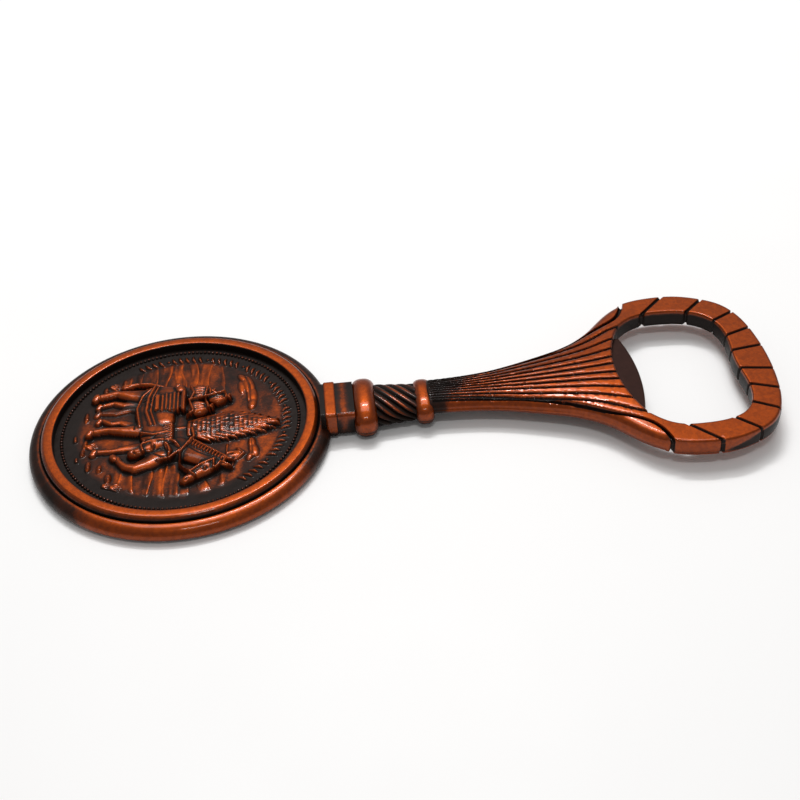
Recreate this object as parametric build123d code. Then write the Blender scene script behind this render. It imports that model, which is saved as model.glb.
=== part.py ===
"""Souvenir bottle opener: a round relief medallion on a fluted handle that ends in an opener loop.

Millimetres, +Z up. X runs from the medallion to the opener loop. The origin is the centre of the
medallion's flat back, so z = 0 is the plane that the medallion rests on.
"""

from build123d import *
import math
import os

# ---- Medallion: tray, bezel ring, relief disc, magnet -------------------------------------------
flange_radius = 27.3
flange_height = 2.9
flange_roll = 2.0
flange_widest_z = 1.2
groove_width = 0.4
groove_floor_z = 2.35
bezel_width = 2.2
bezel_top_z = 3.8
bezel_edge_fillet = 0.55
magnet_radius = 20.0
magnet_thickness = 1.0
glue_thickness = 0.1
pocket_clearance = 0.1
tray_web = 0.7
disc_thickness = 0.5
bead_band_width = 0.9
bead_band_height = 0.3
border_width = 3.4
border_step = 0.12

# ---- Socket between the medallion and the handle ------------------------------------------------
socket_length = 3.8
socket_half_width = 4.8
socket_half_height = 2.4
socket_chamfer = 0.8
collar_inset = 1.15
collar_length = 2.0
collar_proud = 0.15
tang_half_width = 2.6
tang_height = 2.2
tang_length = 4.6
tang_clearance = 0.05

# ---- Handle neck: two rounded ferrules with a rope twist between them ---------------------------
big_ferrule_length = 4.4
big_ferrule_half_width = 6.4
big_ferrule_height = 5.9
big_ferrule_fillet = 1.8
small_ferrule_length = 3.3
small_ferrule_half_width = 5.05
small_ferrule_height = 4.5
small_ferrule_fillet = 1.4
ferrule_lift = 0.1
twist_length = 6.9
twist_start_half_width = 4.7
twist_start_half_height = 2.2
twist_end_half_width = 4.05
twist_end_half_height = 1.8
twist_strands = 12
twist_turn_degrees = 130.0
twist_groove = 0.1
twist_sections = 9

# ---- Fluted fan and opener loop -----------------------------------------------------------------
handle_drop = 0.45
loop_thickness = 3.3
fan_start_half_width = 3.9
fan_start_rise = 1.75
fan_root_length = 1.2
fan_length = 45.3
loop_reach = 16.7
loop_half_width = 21.15
rim_side_width = 4.95
rim_end_width = 5.8
mouth_length = 22.65
mouth_corner = 3.6
fulcrum_bulge = 0.45
fan_edge_radius = 25.7
edge_chamfer = 0.45
flute_width = 0.55
flute_depth = 0.45
block_groove_width = 0.8
block_groove_depth = 0.5

# ---- Steel cap lifter set into the casting ------------------------------------------------------
lifter_reach = 4.55
lifter_edge_radius = 39.0
lifter_end_gap = 2.0
lifter_thickness = 1.6
lifter_lift = 0.7
lifter_root_length = 4.0
lifter_clearance = 0.05

# ---- Worked out from the sizes above ------------------------------------------------------------
flange_waist = flange_radius - flange_roll
bezel_outer_radius = flange_waist - groove_width
bezel_inner_radius = bezel_outer_radius - bezel_width
disc_radius = bezel_inner_radius - pocket_clearance
magnet_pocket_depth = magnet_thickness + glue_thickness
tray_floor_z = magnet_pocket_depth + tray_web
disc_bottom_z = tray_floor_z + glue_thickness
field_z = disc_bottom_z + disc_thickness
neck_axis_z = ferrule_lift + big_ferrule_height / 2
collar_start_x = flange_radius - collar_inset
socket_end_x = flange_radius + socket_length
twist_start_x = socket_end_x + big_ferrule_length
twist_end_x = twist_start_x + twist_length
fan_start_x = twist_end_x + small_ferrule_length
fan_start_top_z = neck_axis_z + fan_start_rise
handle_bottom_z = neck_axis_z - handle_drop
loop_top_z = handle_bottom_z + loop_thickness
loop_widest_x = fan_start_x + fan_length
loop_end_x = loop_widest_x + loop_reach
opening_end_x = loop_end_x - rim_end_width
opening_half_width = loop_half_width - rim_side_width
fan_edge_x = opening_end_x - mouth_length
fan_edge_half_width = opening_half_width - mouth_corner
lifter_edge_x = fan_edge_x + lifter_reach
lifter_half_width = fan_edge_half_width - lifter_end_gap
lifter_bottom_z = handle_bottom_z + lifter_lift

# Fan outline: share of the way from the small ferrule to the loop's widest place, then half width
# as a share of the way from the fan's narrow end to the loop's half width.
FAN_SHAPE = (
    (0.08, 0.012),
    (0.25, 0.062),
    (0.42, 0.175),
    (0.57, 0.312),
    (0.665, 0.475),
    (0.76, 0.735),
    (0.86, 0.925),
)
# Loop outline beyond its widest place: shares of the length left, and of the half width.
LOOP_SHAPE = ((0.27, 0.99), (0.52, 0.925), (0.74, 0.815), (0.90, 0.60), (0.975, 0.32))
# Opening from the fan's edge: shares of its length and of its half width.
OPENING_SHAPE = (
    (0.12, 0.905),
    (0.27, 0.985),
    (0.42, 1.0),
    (0.70, 0.965),
    (0.86, 0.87),
    (0.95, 0.73),
    (1.0, 0.46),
)
# Block grooves, one side: shares of the mouth's length and half width at the inner wall, then
# shares of the loop's reach and half width at the rim.
BLOCK_GROOVES = (
    (0.382, 0.975, 0.114, 0.988),
    (0.762, 0.951, 0.563, 0.903),
    (0.956, 0.741, 0.820, 0.667),
    (1.004, 0.444, 0.934, 0.421),
    (0.985, 0.160, 0.982, 0.165),
)
# Flutes: each pair keeps this share of the fan's half width all the way along.
FLUTE_SHARES = (0.06, 0.19, 0.335, 0.51, 0.72, 0.93)


def bar(x0, x1, half_width, z0, z1):
    """A box centred on the X axis."""
    size = Box(x1 - x0, 2 * half_width, z1 - z0)
    return Pos((x0 + x1) / 2, 0, (z0 + z1) / 2) * size


def disc(radius, z0, z1):
    return Pos(0, 0, (z0 + z1) / 2) * Cylinder(radius, z1 - z0)


def ring(outer, inner, z0, z1):
    return disc(outer, z0, z1) - disc(inner, z0 - 1, z1 + 1)


# ---- Medallion pieces ---------------------------------------------------------------------------
def flange_rim():
    """The rolled outer rim of the tray, with the dark groove inside it."""
    low = (flange_waist, 0, 0)
    widest = (flange_radius, 0, flange_widest_z)
    high = (flange_waist, 0, flange_height)
    bottom = Line((0, 0, 0), low)
    under = Spline(low, widest, tangents=((1, 0, 0), (0, 0, 1)))
    over = Spline(widest, high, tangents=((0, 0, 1), (-1, 0, 0)))
    inside = Polyline(
        high,
        (flange_waist, 0, groove_floor_z),
        (bezel_outer_radius, 0, groove_floor_z),
        (bezel_outer_radius, 0, tray_floor_z),
        (0, 0, tray_floor_z),
        (0, 0, 0),
    )
    return revolve(make_face([bottom, under, over, inside]), Axis.Z)


def socket_block():
    """Rectangular socket that takes the handle's tang, with the bright collar round its root."""
    low = neck_axis_z - socket_half_height
    high = neck_axis_z + socket_half_height
    block = bar(bezel_outer_radius, socket_end_x, socket_half_width, low, high)
    block = chamfer(block.edges().filter_by(Axis.X), socket_chamfer)
    collar = bar(
        collar_start_x,
        collar_start_x + collar_length,
        socket_half_width + collar_proud,
        low - collar_proud,
        high + collar_proud,
    )
    collar = chamfer(collar.edges().filter_by(Axis.X), socket_chamfer)
    return block + collar


def tang_bar(gap):
    """The tang, or with a gap the pocket that it goes into."""
    half = tang_height / 2 + gap
    start = socket_end_x - tang_length - gap
    return bar(start, socket_end_x, tang_half_width + gap, neck_axis_z - half, neck_axis_z + half)


def medallion_tray():
    well = disc(bezel_outer_radius, 0, neck_axis_z + 2 * socket_half_height)
    body = flange_rim() + (socket_block() - well)
    magnet_pocket = disc(magnet_radius + pocket_clearance, -1, magnet_pocket_depth)
    return body - magnet_pocket - tang_bar(tang_clearance)


def bezel_ring():
    """Raised ring that frames the relief; its lower part stands on the tray floor."""
    body = ring(bezel_outer_radius, bezel_inner_radius, tray_floor_z, bezel_top_z)
    rim = body.edges().filter_by(GeomType.CIRCLE).group_by(Axis.Z)[-1].sort_by(SortBy.RADIUS)
    body = fillet(rim[-1], bezel_edge_fillet)
    inner = body.edges().filter_by(GeomType.CIRCLE).group_by(Axis.Z)[-1].sort_by(SortBy.RADIUS)[0]
    return chamfer(inner, bezel_edge_fillet / 3)


def relief_disc():
    """Cast disc with a stepped border, a rolled bead band at its edge and a plain raised field."""
    body = disc(disc_radius, disc_bottom_z, field_z)
    border = disc_radius - border_width
    band = ring(disc_radius, disc_radius - bead_band_width, field_z, field_z + bead_band_height)
    band = fillet(band.edges().group_by(Axis.Z)[-1], bead_band_height * 0.8)
    return body + band + disc(border, field_z, field_z + border_step)


# ---- Handle pieces ------------------------------------------------------------------------------
def ferrule(start_x, length, half_width, height, radius):
    """A flat bead across the neck, rounded all over."""
    low = neck_axis_z - height / 2
    body = bar(start_x, start_x + length, half_width, low, low + height)
    return fillet(body.edges(), min(radius, 0.45 * length, 0.45 * height))


def between(start, end, share):
    return start + share * (end - start)


def strand_section(share):
    """One lobed section of the rope twist, turned a little further at each share of its length."""
    half_width = between(twist_start_half_width, twist_end_half_width, share)
    half_height = between(twist_start_half_height, twist_end_half_height, share)
    turn = math.radians(twist_turn_degrees) * share
    points = []
    for i in range(2 * twist_strands):
        angle = math.pi * i / twist_strands + turn
        reach = 1.0 if i % 2 == 0 else 1.0 - twist_groove
        x = twist_start_x + share * twist_length
        y = reach * half_width * math.cos(angle)
        z = neck_axis_z + reach * half_height * math.sin(angle)
        points.append((x, y, z))
    return make_face(Polyline(*points, close=True))


def rope_twist():
    sections = [strand_section(i / (twist_sections - 1)) for i in range(twist_sections)]
    return loft(sections, ruled=True)


def fan_root():
    """The fan's narrow end, carried a little way into the small ferrule."""
    return (fan_start_x - fan_root_length, fan_start_half_width)


def fan_point(along, across):
    x = between(fan_start_x, loop_widest_x, along)
    y = between(fan_start_half_width, loop_half_width, across)
    return (x, y)


def handle_half_outline():
    """Points down one side of the fan and loop, from the small ferrule to the loop's end."""
    side = [fan_point(along, across) for along, across in FAN_SHAPE]
    side += [(loop_widest_x, loop_half_width)]
    side += [(loop_widest_x + u * loop_reach, v * loop_half_width) for u, v in LOOP_SHAPE]
    return side + [(loop_end_x, 0)]


def handle_plan():
    points = [fan_root()] + handle_half_outline()
    left = Spline(*points, tangents=((1, 0), (0, -1)))
    right = mirror(left, Plane.XZ)
    end = Line(left @ 0, right @ 0)
    return make_face([left, right, end])


def side_profile(lowered=0.0):
    """The handle seen from the side: level underneath, rising from the neck to the loop."""
    root_x = fan_start_x - fan_root_length
    past_x = loop_end_x + loop_thickness
    base_z = handle_bottom_z - loop_thickness
    low_z = fan_start_top_z - lowered
    high_z = loop_top_z - lowered
    top = Spline(
        (root_x, 0, low_z),
        (between(fan_start_x, loop_widest_x, 0.35), 0, between(low_z, high_z, 0.18)),
        (between(fan_start_x, loop_widest_x, 0.89), 0, high_z),
        tangents=((1, 0, 0), (1, 0, 0)),
    )
    level = Line(top @ 1, (past_x, 0, high_z))
    frame = Polyline(level @ 1, (past_x, 0, base_z), (root_x, 0, base_z), top @ 0)
    face = make_face([top, level, frame])
    return extrude(face, 2 * loop_half_width, dir=(0, 1, 0), both=True)


def arc_sag(radius, half_width):
    return radius - math.sqrt(radius**2 - half_width**2)


def opening_plan():
    """The opener's mouth: the fan's hollow edge on one side and the loop's inner wall on the other."""
    start_x = fan_edge_x + arc_sag(fan_edge_radius, fan_edge_half_width)
    length = opening_end_x - start_x
    upper = [(start_x, fan_edge_half_width)]
    upper += [(start_x + u * length, v * opening_half_width) for u, v in OPENING_SHAPE]
    lower = [(x, -y) for x, y in reversed(upper)]
    wall = Spline(*upper, (opening_end_x - fulcrum_bulge, 0), *lower)
    edge = ThreePointArc(wall @ 0, (fan_edge_x, 0), wall @ 1)
    return make_face([wall, edge])


def flute_strip(share, side):
    """One flute in plan: a narrow strip that keeps its share of the fan's half width."""
    route = [fan_root()] + [fan_point(along, across) for along, across in FAN_SHAPE]
    keep = [(x, side * share * y) for x, y in route]
    half = flute_width / 2
    upper = Spline(*[(x, y + half) for x, y in keep])
    lower = Spline(*[(x, y - half) for x, y in keep])
    ends = [Line(upper @ 0, lower @ 0), Line(upper @ 1, lower @ 1)]
    return make_face([upper, lower] + ends)


def flutes():
    """All flutes, cut to one depth below the fan's sloping top."""
    core = side_profile(lowered=flute_depth)
    strips = [flute_strip(share, side) for share in FLUTE_SHARES for side in (1, -1)]
    return [extrude(Pos(0, 0, handle_bottom_z) * strip, 2 * loop_thickness) - core for strip in strips]


def block_groove(ends, side):
    """Cutters for one groove: over the loop's two faces and down its two walls."""
    inner = Vector(fan_edge_x + ends[0] * mouth_length, side * ends[1] * opening_half_width)
    outer = Vector(loop_widest_x + ends[2] * loop_reach, side * ends[3] * loop_half_width)
    run = outer - inner
    middle = (inner + outer) * 0.5
    angle = math.degrees(math.atan2(run.Y, run.X))
    place = Pos(middle.X, middle.Y, handle_bottom_z) * Rot(0, 0, angle)
    depth = block_groove_depth
    face_cut = Box(run.length + 8 * depth, block_groove_width, 2 * depth)
    wall_cut = Box(4 * depth, block_groove_width, loop_thickness)
    wall_x = run.length / 2 + depth
    return [
        place * face_cut,
        place * Pos(0, 0, loop_thickness) * face_cut,
        place * Pos(wall_x, 0, loop_thickness / 2) * wall_cut,
        place * Pos(-wall_x, 0, loop_thickness / 2) * wall_cut,
    ]


def block_grooves():
    """The straight grooves that divide the loop into blocks."""
    return [cut for ends in BLOCK_GROOVES for side in (1, -1) for cut in block_groove(ends, side)]


def lifter_plan(gap=0.0):
    """Lens of the cap lifter that shows in the mouth, with the root that the casting holds."""
    half = lifter_half_width + gap
    end_x = lifter_edge_x - arc_sag(lifter_edge_radius, lifter_half_width)
    back_x = fan_edge_x - lifter_root_length - gap
    edge = ThreePointArc((end_x, half), (lifter_edge_x + gap, 0), (end_x, -half))
    rest = Polyline((end_x, -half), (back_x, -half), (back_x, half), (end_x, half))
    return make_face([edge, rest])


def cap_lifter(gap=0.0):
    """The steel lip, or with a gap the slot that it is held in."""
    return extrude(Pos(0, 0, lifter_bottom_z) * lifter_plan(gap), lifter_thickness)


def fan_and_loop():
    full = extrude(Pos(0, 0, handle_bottom_z) * handle_plan(), 2 * loop_thickness)
    body = full & side_profile()
    under = body.faces().sort_by(Axis.Z)[0].edges().filter_by(GeomType.BSPLINE)
    body = chamfer(under, edge_chamfer)
    below = Pos(0, 0, handle_bottom_z - loop_thickness)
    body -= extrude(below * opening_plan(), 3 * loop_thickness)
    return body - flutes() - block_grooves() - cap_lifter(lifter_clearance)


def neck_core():
    """The bar that runs through the twist from the big ferrule to the fan's root."""
    half_height = 0.8 * twist_end_half_height
    end_x = fan_start_x - fan_root_length
    half_width = 0.7 * fan_start_half_width
    return bar(socket_end_x, end_x, half_width, neck_axis_z - half_height, neck_axis_z + half_height)


def opener_handle():
    big = ferrule(
        socket_end_x,
        big_ferrule_length,
        big_ferrule_half_width,
        big_ferrule_height,
        big_ferrule_fillet,
    )
    small = ferrule(
        twist_end_x,
        small_ferrule_length,
        small_ferrule_half_width,
        small_ferrule_height,
        small_ferrule_fillet,
    )
    return big + rope_twist() + small + neck_core() + fan_and_loop() + tang_bar(0)


def build_parts():
    return {
        "medallion_tray": medallion_tray(),
        "bezel_ring": bezel_ring(),
        "relief_disc": relief_disc(),
        "relief_disc_glue": disc(disc_radius, tray_floor_z, disc_bottom_z),
        "back_magnet": disc(magnet_radius, 0, magnet_thickness),
        "magnet_glue": disc(magnet_radius, magnet_thickness, magnet_pocket_depth),
        "opener_handle": opener_handle(),
        "cap_lifter": cap_lifter(),
    }


os.makedirs("parts", exist_ok=True)
for name, solid in build_parts().items():
    solid.label = name
    export_step(solid, f"parts/{name}.step")
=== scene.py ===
"""Looks of the souvenir bottle opener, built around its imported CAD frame.

Shapes are worked out in millimetres and turned into metres when a mesh is made. X runs from the
medallion to the opener loop, Z is up out of the relief, and the floor is at z = 0.
"""

import math

import bmesh
import bpy
import numpy as np
from mathutils import Euler, Matrix, Vector, geometry


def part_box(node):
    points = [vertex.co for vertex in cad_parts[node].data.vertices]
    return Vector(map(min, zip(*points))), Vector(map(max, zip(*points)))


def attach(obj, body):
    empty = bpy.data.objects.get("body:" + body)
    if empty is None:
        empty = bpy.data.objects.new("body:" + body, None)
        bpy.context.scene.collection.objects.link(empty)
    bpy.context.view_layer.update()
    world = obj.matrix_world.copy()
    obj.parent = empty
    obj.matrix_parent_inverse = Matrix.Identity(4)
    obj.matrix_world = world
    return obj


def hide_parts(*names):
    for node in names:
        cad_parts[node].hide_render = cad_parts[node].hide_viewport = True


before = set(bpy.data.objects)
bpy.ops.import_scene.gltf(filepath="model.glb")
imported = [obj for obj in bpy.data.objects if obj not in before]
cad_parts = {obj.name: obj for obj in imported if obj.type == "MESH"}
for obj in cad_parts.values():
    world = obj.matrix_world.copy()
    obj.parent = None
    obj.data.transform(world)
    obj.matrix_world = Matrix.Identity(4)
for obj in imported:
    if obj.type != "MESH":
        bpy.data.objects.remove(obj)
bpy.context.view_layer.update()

MM = 0.001
RNG = np.random.default_rng(7)


def node_box(name):
    """Lowest and highest corner of a CAD node, in millimetres."""
    low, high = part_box(name)
    return np.array(low) / MM, np.array(high) / MM


# ---- Sizes read from the frame ------------------------------------------------------------------
tray_low, tray_high = node_box("medallion_tray")
bezel_low, bezel_high = node_box("bezel_ring")
disc_low, disc_high = node_box("relief_disc")
handle_low, handle_high = node_box("opener_handle")
lifter_low, lifter_high = node_box("cap_lifter")

FLANGE_R = -tray_low[0]
SOCKET_END = tray_high[0]
BEZEL_R = bezel_high[0]
BEZEL_TOP = bezel_high[2]
TRAY_FLOOR = bezel_low[2]
DISC_R = disc_high[0]
FIELD_Z = disc_low[2] + 0.5
LOOP_END = handle_high[0]
LOOP_HALF = (handle_high[1] - handle_low[1]) / 2
NECK_Z = (handle_low[2] + handle_high[2]) / 2
LIP_TOP = lifter_high[2]
LIP_BOTTOM = lifter_low[2]

# ---- Sizes that the frame's boxes don't give ----------------------------------------------------
BEZEL_WIDTH = 2.2
BIG_FERRULE = (SOCKET_END, SOCKET_END + 4.4)
TWIST = (BIG_FERRULE[1], BIG_FERRULE[1] + 6.9)
SMALL_FERRULE = (TWIST[1], TWIST[1] + 3.3)
FAN_START = SMALL_FERRULE[1]
FAN_HALF = 3.9
LOOP_REACH = 16.7
LOOP_WIDEST = LOOP_END - LOOP_REACH
MOUTH_END = LOOP_END - 5.8
MOUTH_LENGTH = 22.65
MOUTH_HALF = LOOP_HALF - 4.95
FAN_EDGE = MOUTH_END - MOUTH_LENGTH
FAN_EDGE_R = 25.7
FAN_EDGE_HALF = MOUTH_HALF - 3.6
HANDLE_BOTTOM = 2.6
LOOP_TOP = HANDLE_BOTTOM + 3.3
FAN_START_TOP = 4.8
CROWN = 0.9

FAN_SHAPE = (
    (0.08, 0.012),
    (0.25, 0.062),
    (0.42, 0.175),
    (0.57, 0.312),
    (0.665, 0.475),
    (0.76, 0.735),
    (0.86, 0.925),
)
LOOP_SHAPE = ((0.27, 0.99), (0.52, 0.925), (0.74, 0.815), (0.90, 0.60), (0.975, 0.32))
MOUTH_SHAPE = (
    (0.12, 0.905),
    (0.27, 0.985),
    (0.42, 1.0),
    (0.70, 0.965),
    (0.86, 0.87),
    (0.95, 0.73),
    (1.0, 0.46),
)
BLOCK_GROOVES = (
    (0.382, 0.975, 0.114, 0.988),
    (0.762, 0.951, 0.563, 0.903),
    (0.956, 0.741, 0.820, 0.667),
    (1.004, 0.444, 0.934, 0.421),
    (0.985, 0.160, 0.982, 0.165),
)
# Flutes: share of the fan's half width near the neck, and at the fan's edge.
FLUTES = ((0.085, 0.078), (0.255, 0.190), (0.430, 0.330), (0.620, 0.490), (0.790, 0.667))
# The deep outermost groove, which leaves a rail outside it: X from the fan's edge, then Y.
RAIL_GROOVE = (
    (-33.6, 2.95),
    (-27.2, 3.38),
    (-22.2, 4.08),
    (-18.2, 4.86),
    (-14.4, 5.92),
    (-10.4, 7.28),
    (-8.1, 8.30),
    (-4.9, 10.08),
    (-1.83, 11.95),
    (1.59, 13.95),
    (3.55, 15.55),
    (4.7, 17.40),
    (5.45, 19.60),
    (5.75, 21.80),
)
FLUTE_WIDTH = 0.72
FLUTE_DEPTH = 0.5
RAIL_WIDTH = 0.85
RAIL_DEPTH = 0.85
# Share of their full width that the flutes and the rail groove have at the neck.
FLUTE_NECK_SHARE = 0.72
RAIL_NECK_SHARE = 0.6
BLOCK_GROOVE_WIDTH = 0.74
BLOCK_GROOVE_DEPTH = 0.5
# Half width and half height of the socket, and of the twist's far end.
SOCKET_HALF = (4.8, 2.4)
TWIST_END_HALF = (4.15, 2.0)
# Half width and half height of each ferrule, and how far its ends draw in.
BIG_FERRULE_SIZE = (6.45, 2.95, 1.9)
SMALL_FERRULE_SIZE = (5.0, 2.3, 1.2)
# The medallion: its rolled rim, the magnet's pocket, and the picture's grid and heights.
RIM_ROLL = 2.0
POCKET_R = 20.1
RELIEF_STEP = 0.125
HORSE_BASE = 0.45
DONKEY_BASE = 0.6
LOAD_BASE = 0.75
RELIEF_MARGIN = 0.3
RELIEF_SCALE = 0.92
RELIEF_SINK = 0.12
# Rows of points down the walls of the flat castings, and steps round the turned pieces.
WALL_ROWS = 7
TURN_STEPS = 320


# ---- Small maths --------------------------------------------------------------------------------
def blend(a, b, share):
    return a + (b - a) * share


def smoothstep(low, high, x):
    t = np.clip((x - low) / (high - low), 0.0, 1.0)
    return t * t * (3.0 - 2.0 * t)


def cubic_through(points, spacing):
    """Samples a natural cubic curve through the points, evenly enough at the given spacing."""
    p = np.array(points, float)
    t = np.concatenate([[0.0], np.cumsum(np.linalg.norm(np.diff(p, axis=0), axis=1))])
    n = len(p)
    h = np.diff(t)
    system = np.eye(n)
    right = np.zeros_like(p)
    for i in range(1, n - 1):
        system[i, i - 1 : i + 2] = h[i - 1], 2 * (h[i - 1] + h[i]), h[i]
        slope_after = (p[i + 1] - p[i]) / h[i]
        slope_before = (p[i] - p[i - 1]) / h[i - 1]
        right[i] = 6 * (slope_after - slope_before)
    second = np.linalg.solve(system, right)
    at = np.linspace(0, t[-1], max(2, int(t[-1] / spacing)) + 1)
    k = np.clip(np.searchsorted(t, at, side="right") - 1, 0, n - 2)
    a = ((t[k + 1] - at) / h[k])[:, None]
    b = 1 - a
    bend = (a**3 - a) * second[k] + (b**3 - b) * second[k + 1]
    return a * p[k] + b * p[k + 1] + bend * (h[k] ** 2 / 6)[:, None]


def arc_between(start, middle, end, count):
    """Points on the circle through three plan points."""
    a, b, c = (np.array(q, float) for q in (start, middle, end))
    d = 2 * (a[0] * (b[1] - c[1]) + b[0] * (c[1] - a[1]) + c[0] * (a[1] - b[1]))
    sq = [q @ q for q in (a, b, c)]
    ux = (sq[0] * (b[1] - c[1]) + sq[1] * (c[1] - a[1]) + sq[2] * (a[1] - b[1])) / d
    uy = (sq[0] * (c[0] - b[0]) + sq[1] * (a[0] - c[0]) + sq[2] * (b[0] - a[0])) / d
    centre = np.array([ux, uy])
    ang = [math.atan2(*(q - centre)[::-1]) for q in (a, b, c)]
    turn = [(x - ang[0]) % (2 * math.pi) for x in ang]
    sweep = turn[2] if turn[1] < turn[2] else turn[2] - 2 * math.pi
    angles = ang[0] + np.linspace(0, sweep, count)
    radius = np.linalg.norm(a - centre)
    return centre + radius * np.stack([np.cos(angles), np.sin(angles)], 1)


# ---- Mesh helpers -------------------------------------------------------------------------------
def make_object(name, verts, faces, material, nodes, patina_and_shade, sharp=38):
    """A closed mesh in millimetres becomes a piece that stands for CAD nodes."""
    mesh = bpy.data.meshes.new(name)
    mesh.from_pydata((np.asarray(verts) * MM).tolist(), [], [list(map(int, f)) for f in faces])
    mesh.update()
    layer = mesh.attributes.new("patina_and_shade", "FLOAT", "POINT")
    layer.data.foreach_set("value", np.clip(patina_and_shade, 0, 1).astype(np.float32))
    work = bmesh.new()
    work.from_mesh(mesh)
    bmesh.ops.recalc_face_normals(work, faces=work.faces)
    work.to_mesh(mesh)
    work.free()
    mesh.polygons.foreach_set("use_smooth", [True] * len(mesh.polygons))
    mesh.set_sharp_from_angle(angle=math.radians(sharp))
    mesh.materials.append(material)
    obj = bpy.data.objects.new(name, mesh)
    bpy.context.collection.objects.link(obj)
    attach(obj, "root")
    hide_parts(*nodes)
    return obj


def grid_faces(rows, columns, closed):
    """Quads between successive rows of points; closed joins each row's end to its start."""
    span = columns if closed else columns - 1
    faces = []
    for i in range(rows - 1):
        for j in range(span):
            k = (j + 1) % columns
            faces.append((i * columns + j, i * columns + k, (i + 1) * columns + k, (i + 1) * columns + j))
    return faces


def lathe(profile, segments):
    """A closed (radius, z) outline turned about Z. Returns vertices and faces."""
    profile = np.array(profile, float)
    angles = np.linspace(0, 2 * math.pi, segments, endpoint=False)
    rows = []
    for r, z in profile:
        ring = np.stack([r * np.cos(angles), r * np.sin(angles), np.full(segments, z)], 1)
        rows.append(ring)
    count = len(profile)
    faces = grid_faces(count, segments, True)
    last = (count - 1) * segments
    for j in range(segments):
        k = (j + 1) % segments
        faces.append((last + j, last + k, k, j))
    return np.concatenate(rows), faces


def skin(rings):
    """Closed tube through rings of equal length, with a point at the middle of each end."""
    rings = np.array(rings, float)
    count, size, _ = rings.shape
    verts = rings.reshape(-1, 3)
    faces = grid_faces(count, size, True)
    ends = [rings[0].mean(0), rings[-1].mean(0)]
    first, second = len(verts), len(verts) + 1
    for j in range(size):
        k = (j + 1) % size
        faces.append((first, k, j))
        faces.append((second, (count - 1) * size + j, (count - 1) * size + k))
    return np.concatenate([verts, ends]), faces


def rounded_section(x, half_width, half_height, centre_z, powers, count):
    """A superellipse across the handle, with one power above and one below; higher is squarer."""
    angles = np.linspace(0, 2 * math.pi, count, endpoint=False)
    c, s = np.cos(angles), np.sin(angles)
    power = np.where(s >= 0, powers[0], powers[1])
    reach = (np.abs(c) ** power + np.abs(s) ** power) ** (-1 / power)
    y = half_width * reach * c
    z = centre_z + half_height * reach * s
    return np.stack([np.full(count, x), y, z], 1)


def corner_section(x, half_width, half_height, centre_z, cut, soften, steps=5):
    """A rectangle with chamfered corners, each chamfer edge slightly rounded."""
    corners = []
    for sy, sz in ((1, 1), (-1, 1), (-1, -1), (1, -1)):
        a = np.array([sy * half_width, sz * (half_height - cut)])
        b = np.array([sy * (half_width - cut), sz * half_height])
        corners += [a, b] if sy * sz > 0 else [b, a]
    points = []
    total = len(corners)
    for i in range(total):
        here, before, after = corners[i], corners[i - 1], corners[(i + 1) % total]
        start = here + (before - here) / np.linalg.norm(before - here) * soften
        end = here + (after - here) / np.linalg.norm(after - here) * soften
        for t in np.linspace(0, 1, steps):
            points.append((1 - t) ** 2 * start + 2 * t * (1 - t) * here + t**2 * end)
        for t in (0.25, 0.5, 0.75):
            nxt = after + (here - after) / np.linalg.norm(here - after) * soften
            points.append(blend(end, nxt, t))
    points = np.array(points)
    return np.stack([np.full(len(points), x), points[:, 0], centre_z + points[:, 1]], 1)


def nearest(points, path, closed=True):
    """Distance from each plan point to a path, and the path's nearest point to it."""
    a = path if closed else path[:-1]
    b = np.roll(path, -1, axis=0) if closed else path[1:]
    best = np.full(len(points), 1e9)
    away = np.zeros((len(points), 2))
    ab = b - a
    length = (ab**2).sum(1)
    for start in range(0, len(points), 2000):
        p = points[start : start + 2000, None, :]
        t = np.clip(((p - a) * ab).sum(2) / length, 0, 1)
        foot = a + t[..., None] * ab
        gap = np.linalg.norm(p - foot, axis=2)
        k = gap.argmin(1)
        rows = np.arange(len(k))
        best[start : start + 2000] = gap[rows, k]
        away[start : start + 2000] = foot[rows, k]
    return best, away


def inside(points, boundary):
    """Even-odd test of plan points against a closed boundary."""
    x, y = points[:, 0], points[:, 1]
    result = np.zeros(len(points), bool)
    b = np.roll(boundary, -1, axis=0)
    for (x0, y0), (x1, y1) in zip(boundary, b):
        if y0 == y1:
            continue
        crosses = (y0 > y) != (y1 > y)
        result ^= crosses & (x < (x1 - x0) * (y - y0) / (y1 - y0) + x0)
    return result


def thin_out(points, spacing):
    """Drops points that share a small cell with an earlier one."""
    cells = np.round(points / spacing).astype(np.int64)
    _, keep = np.unique(cells, axis=0, return_index=True)
    return points[np.sort(keep)]


def inset_rings(boundary, distances, keep_inside):
    """Copies of a boundary moved along its normals to the solid's side."""
    ahead = np.roll(boundary, -1, axis=0) - np.roll(boundary, 1, axis=0)
    normal = np.stack([-ahead[:, 1], ahead[:, 0]], 1)
    normal /= np.linalg.norm(normal, axis=1)[:, None]
    probe = inside(boundary + 0.05 * normal, boundary)
    side = np.where(probe == keep_inside, 1.0, -1.0)[:, None]
    return [boundary + d * side * normal for d in distances]


def in_solid(points, outer, holes):
    solid = inside(points, outer)
    for hole in holes:
        solid &= ~inside(points, hole)
    return solid


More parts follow.
